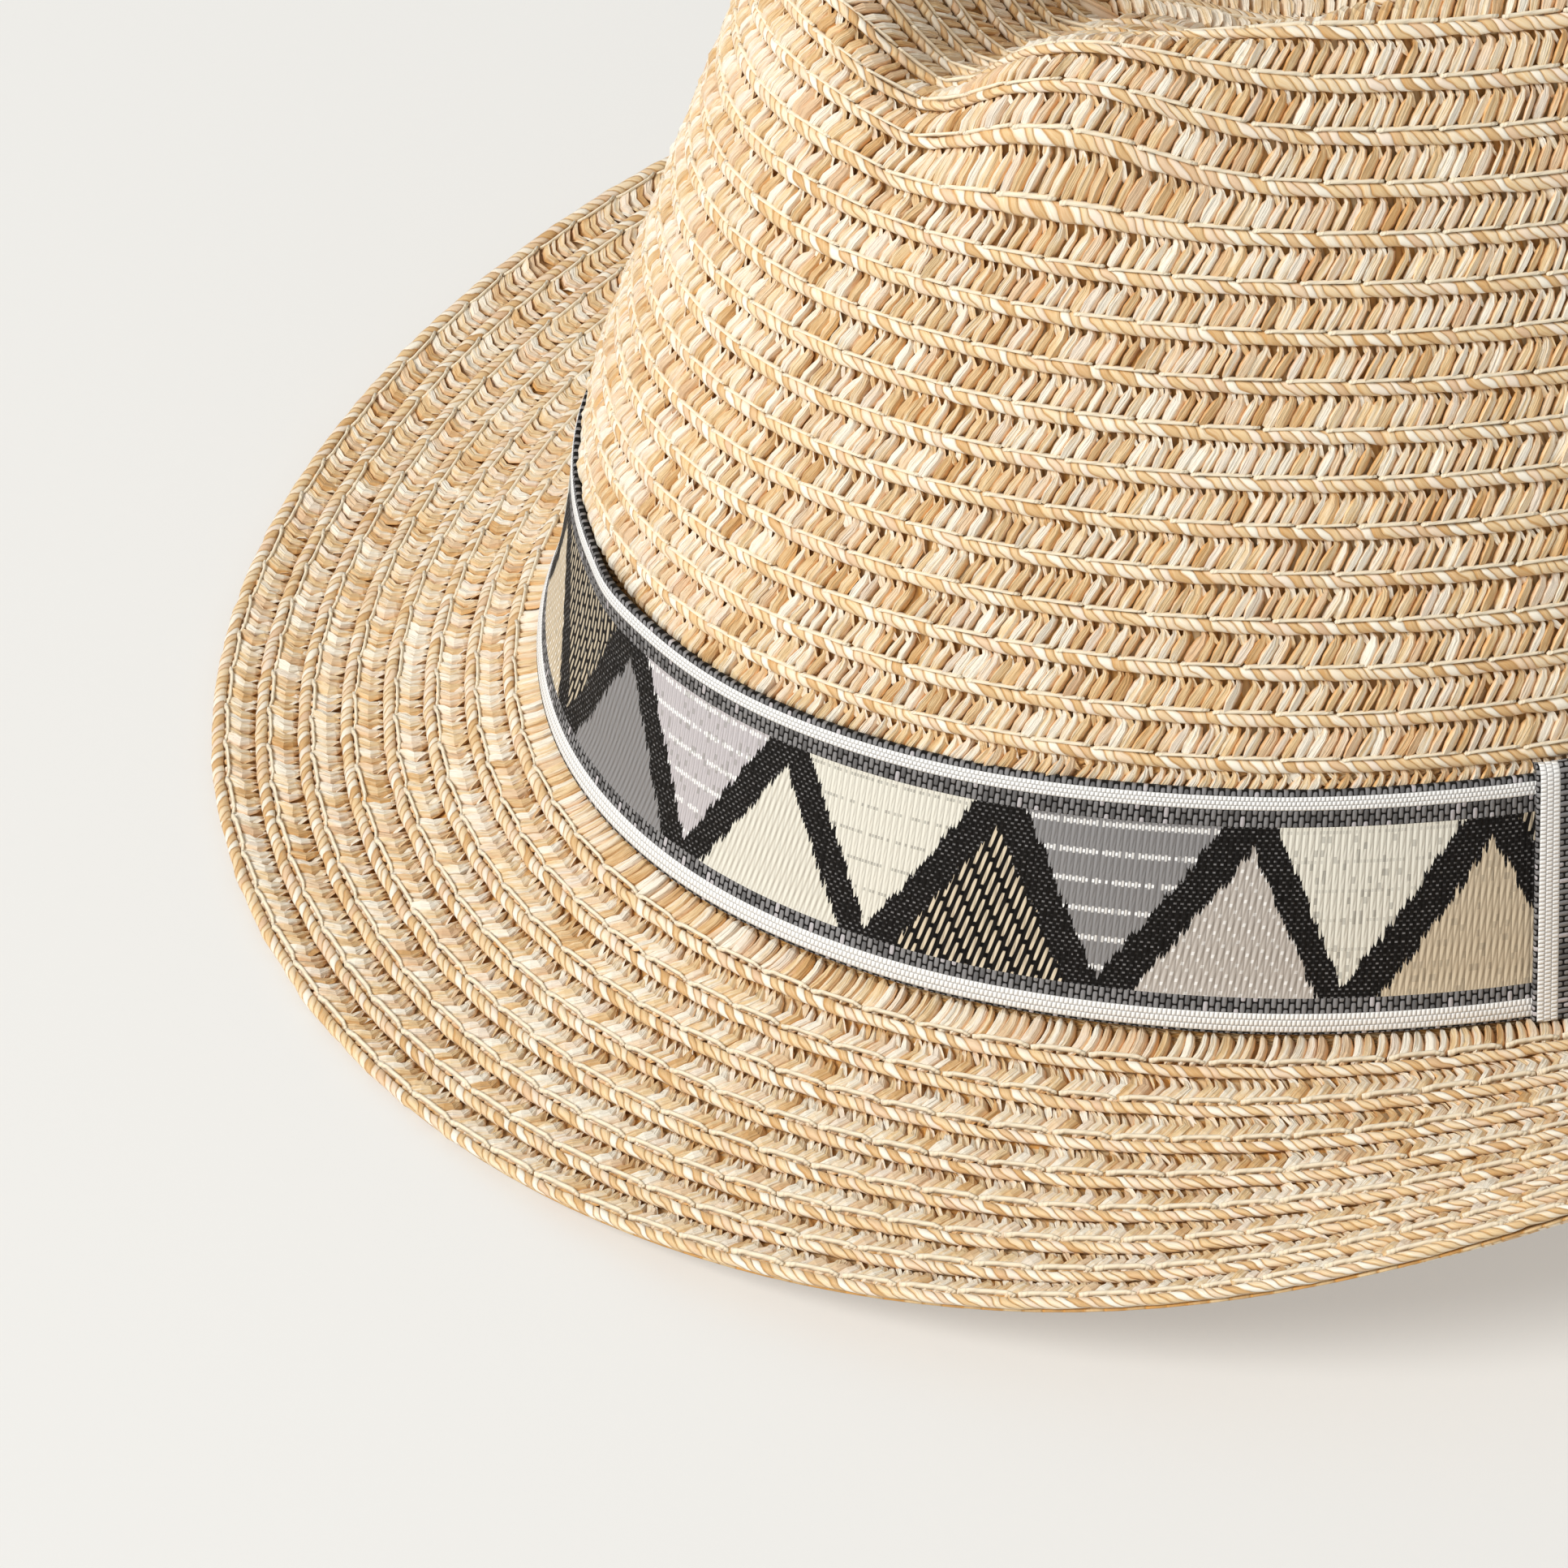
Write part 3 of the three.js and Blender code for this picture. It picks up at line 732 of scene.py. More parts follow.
def cord_material(name, braid):
    """The twisted cord: flat leaves of straw wound round it, each with its own tone, with painted shade along
    one side of every leaf and at the seams between the leaves.
    """
    board = Board(name)
    along, over, _ = board.parts(board.uv("strand"))
    drift = board.noise(board.join(along * 0.32, over * 0.25), 1.0, 1.0)
    turns = (along + over.power(0.55) * 2.1 + drift * 2.4) / (braid.cord_pitch / MM)
    leaf, place = turns.floor(), turns.fract()
    tone = board.speckle(leaf, 3.0)
    tint = board.speckle(leaf, 8.0)
    fibres = board.noise(board.join(place * 7, over * 0.5, leaf * 3.7), 1.0, 3.0, 0.65)
    # Every other leaf is lighter, and each leaf darkens towards one side, painted shade from the leaf that
    # overlaps it.
    turned = (leaf * 0.5).fract() * 0.7 - (1 - place.rise(0.0, 0.35)) * 0.25
    shade = tone * 0.6 + 0.08 + turned + (fibres - 0.5) * 0.7
    colour = board.mix(tint.rise(0.65, 0.95) * 0.5, board.ramp(shade, straw_stops(braid)), braid.rose)
    # Painted shade: at the seams between the leaves the colour turns dark and warm.
    seam = 1 - place.lowest(1 - place).rise(0.0, 0.17)
    seam_shaded = board.mix(seam * 0.75, colour, [(a + b) / 2 for a, b in zip(braid.honey, braid.shade_amber)])
    swell = place.hump(3) * 0.6 + place * 0.3
    return board.finish({"Base Color": seam_shaded, "Roughness": 0.58 - fibres * 0.12, **STRAW_SHEEN,
                         "Normal": board.bump(swell + fibres * 0.22, 0.30 * MM, 0.9)})


def thread_material(braid):
    """Sewing thread: two plies twisted together, darker in the groove between them as painted shade."""
    board = Board("Sewing thread")
    across, along, _ = board.parts(board.uv("strand"))
    ply = (across * 0.9 + along * 1.25).tent()
    fluff = board.noise(board.join(across * 3, along * 3), 1.0)
    # Painted shade in the groove between the plies, with random fluff.
    shade = fluff * 0.4 + (1 - ply) * 0.6
    colour = board.mix(shade.rise(0.1, 0.6), [c * 0.85 for c in braid.thread], braid.thread)
    return board.finish({"Base Color": colour, "Roughness": 0.7, "Sheen Weight": 0.2,
                         "Normal": board.bump(1 - ply * ply, 0.06 * MM, 0.8)})


def bed_material(braid):
    """The backs of the strands, seen in the gaps and on the inside of the crown, darker and warmer between
    the drawn strands as painted shade.
    """
    board = Board("Straw bed")
    around, up, _ = board.parts(board.uv("strand"))
    row = up.fract()
    elbow = (row - 0.55).abs() * 1.6
    lean = around + elbow
    strand = lean.tent()
    count = lean.floor()
    tone = board.speckle(count, up.floor())
    fibres = board.noise(board.join(around * 6, up * 2), 1.0, 3.0)
    # Painted shade: the colour darkens towards the warm shade colour at the edges of every drawn strand.
    shade = tone * 0.8 + fibres * 0.4 - strand.rise(0.7, 1.0) * 0.5
    colour = board.ramp(shade, [(0.0, braid.shade_amber), (0.5, braid.honey), (1.0, braid.wheat)])
    height = (1 - strand * strand) * 0.8 + fibres * 0.2
    return board.finish({"Base Color": colour, "Roughness": 0.7, "Specular IOR Level": 0.3,
                         "Normal": board.bump(height, 0.5 * MM, 0.8)})


# Pieces of straw

SEAM_STOP = 0.2  # where the points of the top rows end before the tip seam
SEAM_OVERRUN = 1.5  # how far past the seam a strand may reach and still be laid
EDGE_OVERRUN = 1.0  # the same for the brim's edge
RIBBON_OVERLAP = 0.3
UNDER_DEPTH = 0.35  # how deep the strands of the underside lie in the straw
UNDER_SHIFT = 0.8  # how far their rows lie out from those on top
STITCH_SEAM_MARGIN = 0.5
STITCH_START = 0.1  # radians within which the first stitch of a row lies


class Row:
    """One plaited row: the surface it lies on, its lower edge and how high it is."""

    def __init__(self, surface, path, edge, pitch):
        self.surface, self.path, self.edge, self.pitch = surface, path, edge, pitch

    def places(self, pitch_mm, share):
        return even_places(self.path, lambda angle: self.edge(angle) + self.pitch(angle) * share, pitch_mm)


def crown_row(row):
    return Row(on_crown_inside_seam, crown, lambda angle: row_at(angle, row),
               lambda angle: row_at(angle, row + 1) - row_at(angle, row))


def brim_row(row):
    return Row(on_brim, brim, lambda angle: BRIM_LENGTH - row * BRIM_PITCH + 0 * angle,
               lambda angle: -BRIM_PITCH + 0 * angle)


def under_row(row):
    """A row of the brim's underside, whose cord lies on the inner edge."""
    def surface(angle, out, height):
        return on_brim(angle, out, -WALL - height + UNDER_DEPTH)

    return Row(surface, brim, lambda angle: BRIM_LENGTH - (row + 1) * BRIM_PITCH + UNDER_SHIFT + 0 * angle,
               lambda angle: BRIM_PITCH + 0 * angle)


def on_crown_inside_seam(angle, along, height):
    return on_crown(angle, np.minimum(along, Section(angle).length - SEAM_STOP), height)


def clear_of_ribbon(places, at):
    """Whether a strand reaches out above the ribbon, and ends before the tip seam."""
    top = ribbon_foot(places) + RIBBON_WIDTH
    return (at.max(1) > top - RIBBON_OVERLAP) & (at.max(1) < Section(places).length + SEAM_OVERRUN)


def inside_edge(places, at):
    """Whether a strand of the underside stays within the brim's edge."""
    return at.max(1) < BRIM_LENGTH + EDGE_OVERRUN


def plaited(sections, slivers=True):
    """What is laid along a row: one form of strand, and the slivers between them."""
    strands = [(Strand(4, sections, roll=STRAND_ROLL), SPREAD, 1)]
    return strands + [(Strand(3, SLIVER), LOOSE_SPREAD, SLIVER_CHANCE)] if slivers else strands


def plait_piece(braid, name, rows, material, keep=None):
    """One piece of the braid from its rows, each with what is laid along it."""
    plait = Plait(braid_random(braid, name))
    for row, strands in rows:
        places, reach = row.places(braid.strand_pitch / MM, 0.5)
        lay_row(plait, strands, row, places, reach, keep)
    settle(plait.piece(name, material), "straw", "straw_body")


def cords(rows, random, name, material):
    """The cords that close off the rows: a long twisted strand along each lower edge, as closed rings."""
    profile = np.array(CORD_PROFILE)
    size = len(profile)
    around = np.concatenate([[0], np.cumsum(np.linalg.norm(np.roll(profile, -1, 0) - profile, axis=1))])
    points, quads, uvs = [], [], []
    total = 0
    for row in rows:
        places, _ = row.places(CORD_STEP, 0.0)
        count = len(places)
        walk = row.path(places, row.edge(places))
        step = np.linalg.norm(np.roll(walk, -1, 0) - walk, axis=1)
        travelled = np.concatenate([[0], np.cumsum(step)]) + random.uniform(0, CORD_SHIFT)
        stray = CORD_WANDER * random.standard_normal((count, 1))
        swell = 1 + CORD_SWELL * random.standard_normal((count, 1))
        angle = places[:, None] + 0 * profile[None, :, 0]
        up = (profile[None, :, 0] - CORD_MIDDLE) * swell + CORD_MIDDLE + stray
        high = profile[None, :, 1] * swell + CORD_STRAY_UP * stray
        points.append(row.surface(angle, row.edge(angle) + up / ROW_PITCH * row.pitch(angle), high)
                      .reshape(-1, 3))
        i, j = np.indices((count, size))
        quads.append(total + grid_quads(count, size))
        corners = [(i, j), (i + 1, j), (i + 1, j + 1), (i, j + 1)]
        uvs.append(np.stack([np.stack([travelled[a], around[b]], -1) for a, b in corners], -2)
                   .reshape(-1, 2))
        total += count * size
    return link_mesh(name, in_frame(np.concatenate(points)), [np.concatenate(quads)], material,
                     layers={"strand": np.concatenate(uvs)})


BED_COLUMNS = 180
BED_STRANDS = 2.0  # strands drawn on each of the bed's columns
BED_ROW_STATIONS = [(0.0, -0.60), (0.25, -0.50), (0.6, -0.65), (0.98, -1.00)]  # share of a row, height
BED_LINING_STATIONS = [(0.8, -1.7), (0.4, -2.1), (0.0, -1.95)]
BED_LINING_ROWS = 5  # rows of the lining below the first row of the crown
BED_LINING_PITCH = 5.8
BED_BRIM_STATIONS = 24
BED_BRIM_TOP, BED_BRIM_UNDER = -0.95, -1.25
BED_RIBBON_STATIONS = (1.5, 28, 8)  # behind the ribbon: from, to, how many
BED_RIBBON_HEIGHT = -0.7
BED_BREAK_MARGIN = 1.5
BED_EDGE_MARGIN = 0.8
BED_SEAM_MARGIN = 0.4
BED_TIP_GAP = 0.6  # between the two sides of the sheet at the tip seam


def straw_bed(material):
    """The sheet under the strands: outside of the crown, its inside, and the middle of the brim."""
    angle = np.linspace(0, TURN, BED_COLUMNS + 1)
    level = 0 * angle
    s = Section(angle)
    walk, rows = [], []

    def station(points, row):
        walk.append(points)
        rows.append(row)

    def brim_stations(start, end, height):
        for out in np.linspace(start, end, BED_BRIM_STATIONS):
            station(on_brim(angle, out + level, height + level), (BRIM_LENGTH - out) / BRIM_PITCH)

    brim_stations(BRIM_LENGTH - BED_EDGE_MARGIN, BED_BREAK_MARGIN, BED_BRIM_TOP)
    for along in np.linspace(*BED_RIBBON_STATIONS):
        station(on_crown(angle, s.break_at + along, BED_RIBBON_HEIGHT + level), along / ROW_PITCH)
    for row in range(CROWN_ROWS):
        for share, height in BED_ROW_STATIONS:
            at = np.minimum(row_at(angle, row + share), s.length - BED_SEAM_MARGIN)
            station(on_crown(angle, at, height + level), row + share)
    middle = walk[-1] * [0, 1, 1]
    station(middle, CROWN_ROWS)
    station(middle - [0, 0, BED_TIP_GAP], CROWN_ROWS)
    for row in range(CROWN_ROWS - 1, -BED_LINING_ROWS - 1, -1):
        for share, height in BED_LINING_STATIONS:
            at = np.minimum(row_at(angle, row + share), s.length - BED_EDGE_MARGIN)
            step = INSIDE_STEP
            if row < 0:
                rise = (FIRST_ROW - SIDE_BREAK) * (1 + (row + share) / BED_LINING_PITCH)
                at = np.maximum(s.break_at + rise, s.break_at + BED_BREAK_MARGIN)
                step = FINE_STEP
            station(on_crown(angle, at, height + level, step), row + share)
    brim_stations(BED_BREAK_MARGIN, BRIM_LENGTH - BED_EDGE_MARGIN, BED_BRIM_UNDER)
    grid = np.stack(walk, 0)[:, :-1]
    count = len(grid)
    rows = np.array(rows, float)
    after_row = np.append(rows[1:], rows[-1])
    line, side = np.indices((count, BED_COLUMNS))
    here, after = rows[line], after_row[line]
    corners = [(side, here), (side + 1, here), (side + 1, after), (side, after)]
    layer = np.stack([np.stack([BED_STRANDS * place, row], -1) for place, row in corners], -2)
    quads = grid_quads(count, BED_COLUMNS)[:, [0, 3, 2, 1]]
    return link_mesh("straw_bed", in_frame(grid.reshape(-1, 3)), [quads], material,
                     layers={"strand": layer.reshape(-1, 2)})


def clear_of_seam(places, at):
    return clear_of_ribbon(places, at) & (at.max(1) < Section(places).length - STITCH_SEAM_MARGIN)


def sewing_thread(braid, random, name, material):
    """Stitches along the upper edge of every cord, each a thin closed spindle that dips at both ends."""
    length, width = braid.stitch_length / MM, braid.thread_width / MM
    half = length / 2
    crown_stitch = Strand(4, [
        (-half, 1.52, -0.10, 0.0, 0.0), (-half + 0.18, 1.58, 0.38, width * 1.35, width * 1.35),
        (-half + 0.9, 1.70, 0.38, width * 1.1, width), (half - 1.3, 1.82, 0.34, width * 1.05, width),
        (half - 0.45, 1.82, 0.22, width, width), (half - 0.20, 1.80, -0.25, 0.0, 0.0),
    ])
    brim_stitch = Strand(4, [
        (-half, 1.55, -0.05, 0.0, 0.0), (-half + 0.18, 1.66, 0.58, width * 1.25, width * 1.2),
        (-half + 1.4, 2.02, 0.60, width, width), (half - 1.6, 2.12, 0.52, width, width),
        (half - 0.55, 1.86, 0.32, width * 0.95, width), (half - 0.25, 1.72, -0.25, 0.0, 0.0),
    ])
    plait = Plait(random)
    rows = [(crown_row(n), crown_stitch, clear_of_seam) for n in range(CROWN_ROWS)]
    rows += [(brim_row(n), brim_stitch, None) for n in range(BRIM_ROWS)]
    for row, stitch, keep in rows:
        places, reach = row.places(length, 0.0)
        places = places + random.uniform(0, STITCH_START)
        lay_row(plait, [(stitch, STITCH_SPREAD, 1)], row, places, reach, keep)
    return plait.piece(name, material, smooth=True)


# Ribbon and keeper

# Places along the ribbon, in millimetres from a point on the wearer's left, where the zigzag turns: whole
# numbers are the lower turns and halves the upper ones
ZIGZAG_TURNS = [
    (-117.0, -4.0), (-102.4, -3.5), (-87.6, -3.0), (-73.8, -2.5), (-59.7, -2.0), (-44.9, -1.5), (-30.9, -1.0),
    (-13.7, -0.5), (-1.8, 0.0), (15.7, 0.5),
]
ZIGZAG_HALF = 14.73
RIBBON_ZERO = math.radians(80)  # where the places along the ribbon are counted from
RIBBON_COLUMNS = 360
# Across the ribbon's face from its lower edge: how far up, and how far it stands proud
RIBBON_FACE = [
    (0.0, -0.22), (0.15, -0.04), (0.55, 0.0), (0.75, 0.10), (2.75, 0.10), (2.95, 0.0), (8.0, 0.0),
    (14.0, 0.0), (20.0, 0.0), (26.0, 0.0), (29.6, 0.0), (29.8, 0.10), (31.4, 0.10), (31.6, 0.0),
    (32.15, -0.04), (32.3, -0.22),
]
RIBBON_PATTERN_FROM = -0.3  # where the pattern's own scale has the ribbon's lower edge
# Where the ribbon's upper edge stands off the straw, from this share of its width up
RIBBON_GAPE = {"angle": math.radians(11), "reach": math.radians(4.5), "height": 1.1, "up": 0.8, "from": 0.6}
RIBBON_RIPPLE = 0.10
RIBBON_RIPPLE_LENGTH = 6.3  # for one radian of the wave


def zigzag_phase(place):
    """The turns of the zigzag passed at a place along the ribbon."""
    places, turns = np.array(ZIGZAG_TURNS).T
    below = turns[0] + (place - places[0]) / (2 * ZIGZAG_HALF)
    above = turns[-1] + (place - places[-1]) / (2 * ZIGZAG_HALF)
    return np.where(place < places[0], below,
                    np.where(place > places[-1], above, np.interp(place, places, turns)))


def strip_layers(faces, shape, place, up, phase):
    """Corner values for the weave, from values that are spread over a grid of points."""
    place, up, phase = (np.broadcast_to(v, shape).ravel()[faces.ravel()] for v in (place, up, phase))
    return {"weave": np.stack([place, up], -1), "zigzag": np.stack([phase, up], -1)}


def ribbon_band(material):
    """The ribbon round the crown: a closed ring whose ends meet under the keeper."""
    start = (KEEPER_FROM + KEEPER_TO) / 2
    angle = np.linspace(start - TURN, start, RIBBON_COLUMNS + 1)
    face = np.array(RIBBON_FACE)
    back = face[::-5]
    walk = np.concatenate([face + [0, RIBBON_FAR], np.stack([back[:, 0], 0 * back[:, 0] + RIBBON_NEAR], 1)])
    size = len(walk)
    path = on_crown(angle, ribbon_foot(angle) + RIBBON_WIDTH / 2, RIBBON_FAR + 0 * angle)
    travelled = np.concatenate([[0], np.cumsum(np.linalg.norm(np.diff(path, axis=0), axis=1))])
    place = travelled - np.interp(RIBBON_ZERO, angle, travelled)
    around = angle[:, None] + 0 * walk[None, :, 0]
    along = ribbon_foot(around) + walk[None, :, 0]
    gape = RIBBON_GAPE["height"] * np.exp(-((around - RIBBON_GAPE["angle"]) / RIBBON_GAPE["reach"]) ** 2)
    gape = gape * smoothstep(walk[None, :, 0], RIBBON_GAPE["from"] * RIBBON_WIDTH, RIBBON_WIDTH)
    from_middle = np.abs(walk[None, :, 0] / RIBBON_WIDTH - 0.5) * 2
    ripple = RIBBON_RIPPLE * np.sin(place / RIBBON_RIPPLE_LENGTH)[:, None] * from_middle ** 3
    points = on_crown(around, along + RIBBON_GAPE["up"] * gape + ripple, walk[None, :, 1] + gape + ripple)
    points[-1] = points[0]
    corners = grid_quads(RIBBON_COLUMNS + 1, size, RIBBON_COLUMNS)
    layers = strip_layers(corners, points.shape[:2], place[:, None], walk[None, :, 0] + RIBBON_PATTERN_FROM,
                          zigzag_phase(place)[:, None])
    closed = corners % (RIBBON_COLUMNS * size)
    return link_mesh("woven_ribbon", in_frame(points[:-1].reshape(-1, 3)), [closed], material, layers=layers)


# The keeper's walk from its lower edge up its face and over the ribbon's top: up the ribbon, off the straw
KEEPER_FACE = [
    (-0.1, 0.0), (0.3, 0.0), (8.0, 0.0), (16.0, 0.0), (24.0, 0.0), (31.0, 0.0), (32.6, -0.10), (33.5, -0.55),
    (33.8, -1.15), (33.5, -1.75),
]
KEEPER_BACK = [
    (-0.1, 0.0), (0.3, 0.0), (8.0, 0.0), (16.0, 0.0), (24.0, 0.0), (31.0, 0.0), (32.4, 0.0), (32.8, -0.15),
    (32.9, -0.45), (32.8, -0.90),
]
KEEPER_EDGE = [(0.0, -0.35), (0.012, -0.08), (0.03, 0.0), (0.97, 0.0), (0.988, -0.08), (1.0, -0.35)]
KEEPER_SHARES = (0.08, 0.92, 15)  # between its edges: from, to, how many columns
KEEPER_PHASE = 0.35  # where the keeper's piece of ribbon was cut from the zigzag


def keeper_loop(material):
    """The keeper: a short piece of the same ribbon set upright over the join, folded over its top edge."""
    shares = sorted({e[0] for e in KEEPER_EDGE} | set(np.round(np.linspace(*KEEPER_SHARES), 3)))
    thin = np.interp(shares, *np.array(KEEPER_EDGE).T)
    angle = KEEPER_FROM + (KEEPER_TO - KEEPER_FROM) * np.array(shares)
    face, back = np.array(KEEPER_FACE), np.array(KEEPER_BACK)
    foot = ribbon_foot(angle)[:, None]
    around = angle[:, None] + 0 * face[None, :, 0]
    outer = on_crown(around, foot + face[None, :, 0], KEEPER_FAR + face[None, :, 1] + thin[:, None])
    inner = on_crown(around, foot + back[None, :, 0], KEEPER_NEAR + back[None, :, 1] + 0 * thin[:, None])
    count, size = outer.shape[:2]
    points = np.stack([outer, inner], 0)

    def index(side, i, j):
        return side * count * size + i * size + j

    i, j = (grid.ravel() for grid in np.indices((count - 1, size - 1)))
    k, m = np.arange(count - 1), np.arange(size - 1)
    last, top = count - 1, size - 1
    quads = np.concatenate([
        np.stack([index(0, i, j), index(0, i + 1, j), index(0, i + 1, j + 1), index(0, i, j + 1)], -1),
        np.stack([index(1, i, j), index(1, i, j + 1), index(1, i + 1, j + 1), index(1, i + 1, j)], -1),
        np.stack([index(1, k, 0), index(1, k + 1, 0), index(0, k + 1, 0), index(0, k, 0)], -1),
        np.stack([index(0, k, top), index(0, k + 1, top), index(1, k + 1, top), index(1, k, top)], -1),
        np.stack([index(1, 0, m), index(0, 0, m), index(0, 0, m + 1), index(1, 0, m + 1)], -1),
        np.stack([index(0, last, m), index(1, last, m), index(1, last, m + 1), index(0, last, m + 1)], -1),
    ])
    width = np.linalg.norm(np.diff(outer[:, size // 2], axis=0), axis=1)
    across = np.concatenate([[0], np.cumsum(width)]) + RIBBON_PATTERN_FROM
    rise = np.concatenate([[0], np.cumsum(np.linalg.norm(np.diff(outer[0], axis=0), axis=1))])
    phase = KEEPER_PHASE + rise / (2 * ZIGZAG_HALF)
    layers = strip_layers(quads, points.shape[:3], rise, across[:, None], phase)
    return link_mesh("woven_keeper", in_frame(points.reshape(-1, 3)), [quads], material, layers=layers)


# The pattern in millimetres, up the ribbon from its lower edge and along it
PATTERN_FIELD = (4.6, 27.3)
LOW_WHITE, HIGH_WHITE = (0.1, 2.6), (29.55, 31.3)
LOW_BEAD_ROW, HIGH_BEAD_ROW = 0.83, 0.58  # three rows of beads in each white stripe
BEAD_PITCH = 0.55
TICK_WIDTH, TICK_HEIGHT = 0.72, 1.6
DOWN_TIP, DOWN_SLOPE = 6.0, 0.535
RISING_TIP, RISING_SLOPE = 24.4, 0.555
KIND_STEP = 0.2  # five kinds of triangle follow each other
DOT_LINE, DOT_LINE_PITCH = 11.1, 3.87
PEPPER_HEIGHT = 0.9
FLOAT_SLANT = 0.22
DASH_WIDTH, DASH_LENGTH, DASH_STAGGER = 1.2, 4.0, 1.3  # the width counted in floats
FLECK_LENGTH, FLECK_STAGGER = 2.3, 0.85
BLACK_PICK_WIDTH, BLACK_PICK_HEIGHT = 0.85, 0.55
RAGGED_FLOAT, RAGGED_EDGE = 0.7, 1.5
# Colours multiplied into the grooves between the floats: painted shade.
FIELD_GROOVE_SHADE, FIELD_SLANT_GROOVE_SHADE = (0.38, 0.36, 0.33), (0.45, 0.41, 0.37)
BEAD_SHADE = (0.42, 0.41, 0.40)


def ribbon_material(ribbon):
    """The woven ribbon: a black zigzag between triangles of plain and dotted floats, striped at its edges."""
    board = Board("Woven ribbon")
    place, up, _ = board.parts(board.uv("weave"))
    phase, _, _ = board.parts(board.uv("zigzag"))
    pitch = ribbon.float_pitch / MM
    black, grey, lilac, stone, tan, cream, white = (
        list(c) for c in (ribbon.black, ribbon.grey, ribbon.lilac, ribbon.stone, ribbon.tan, ribbon.cream,
                          ribbon.white))
    side = (place / pitch).tent()
    half_floats = place / pitch * 2
    thin, thin_side = half_floats.floor(), half_floats.tent()
    ragged = up + (0.5 - thin_side) * RAGGED_FLOAT + (board.speckle(thin, 5.0) - 0.5) * RAGGED_EDGE
    slanted = (place - up * FLOAT_SLANT) / pitch
    float_number, float_side = slanted.floor(), slanted.tent()

    # Triangles: 0 at a lower turn of the zigzag, 1 at an upper one
    turn = (phase + 0.5).tent()
    down = ((ragged - DOWN_TIP) * DOWN_SLOPE - turn * ZIGZAG_HALF) > 0
    rising = ((RISING_TIP - ragged) * RISING_SLOPE - (1 - turn) * ZIGZAG_HALF) > 0
    down_kind = ((phase + 0.5).floor() * KIND_STEP + KIND_STEP / 2).fract()
    up_kind = (phase.floor() * KIND_STEP + KIND_STEP / 2).fract()

    # Picks that show in the black
    pick, column = up / BLACK_PICK_HEIGHT, place / BLACK_PICK_WIDTH
    picks = (column + pick.floor() * 0.5).tent().highest(pick.tent()).rise(0.55, 0.25)
    zigzag = board.mix(picks * board.speckle(column.floor(), pick.floor()) * 0.75, black, grey)

    # Rows of white dots across the downward triangles
    dot_line = (up - DOT_LINE) / DOT_LINE_PITCH + 0.5
    line = (dot_line.fract() - 0.5).abs() * DOT_LINE_PITCH
    seen = board.speckle(thin, dot_line.floor())
    offset = (thin * 0.5).fract() * 0.4 - 0.1
    bars = (line - offset).abs().rise(0.40, 0.24) * (1 - thin_side.rise(0.5, 0.9)) * seen.rise(0.1, 0.2)
    dotted = (line < 0.22) * seen.rise(0.3, 0.4) * (1 - thin_side.rise(0.4, 0.8))
    pepper = board.speckle(thin, (up / PEPPER_HEIGHT).floor()) > 0.90
    falling = board.ramp(down_kind, [(0.0, cream), (0.2, black), (0.4, lilac), (0.6, cream), (0.8, grey)],
                         "CONSTANT")
    # Painted shade in the grooves between the floats of the downward triangles.
    falling = board.mix(thin_side.rise(0.5, 1.0) * 0.4, falling, FIELD_GROOVE_SHADE, "MULTIPLY")
    falling = board.mix(bars * down_kind.between(0.35, 0.55), falling, white)
    falling = board.mix(bars * (down_kind > 0.85), falling, white)
    falling = board.mix(pepper * (down_kind < 0.65) * 0.45, falling, [c * 0.28 for c in cream])
    falling = board.mix(dotted * (down_kind < 0.15) * 0.6, falling, [c * 0.62 for c in cream])
    falling = board.mix(dotted * down_kind.between(0.55, 0.75) * 0.8, falling, [c * 0.45 for c in cream])

    # Slanting dashes, and floats and dots in the upward triangles
    dash_at = slanted / DASH_WIDTH
    dash = (((up + dash_at.floor() * DASH_STAGGER) / DASH_LENGTH).fract() * 2 - 1).power(4)
    dashes = (dash_at.tent() + dash * 0.35).highest(dash).rise(0.56, 0.36)
    slanting = float_side.rise(0.35, 0.95)
    dots = ((up + float_number * FLECK_STAGGER) / FLECK_LENGTH).fract() < 0.2
    dots = dots * (1 - float_side.rise(0.3, 0.6))
    standing = board.ramp(up_kind, [(0.0, tan), (0.2, grey), (0.4, cream), (0.6, black), (0.8, stone)],
                          "CONSTANT")
    # Painted shade in the slanting grooves between the floats of the upward triangles.
    standing = board.mix(slanting * 0.6, standing, FIELD_SLANT_GROOVE_SHADE, "MULTIPLY")
    ticked = board.mix(dots * 0.7, standing, white)
    standing = board.mix(up_kind.between(0.1, 0.3).highest(up_kind > 0.8), standing, ticked)
    standing = board.mix(pepper * (up_kind < 0.15) * 0.4, standing, [c * 0.45 for c in tan])
    standing = board.mix(dashes * up_kind.between(0.6, 0.8), standing, tan)
    falling = board.mix(dashes * down_kind.between(0.2, 0.4), falling, [c * 0.85 for c in tan])
    field = board.mix(rising, board.mix(down, zigzag, falling), standing)

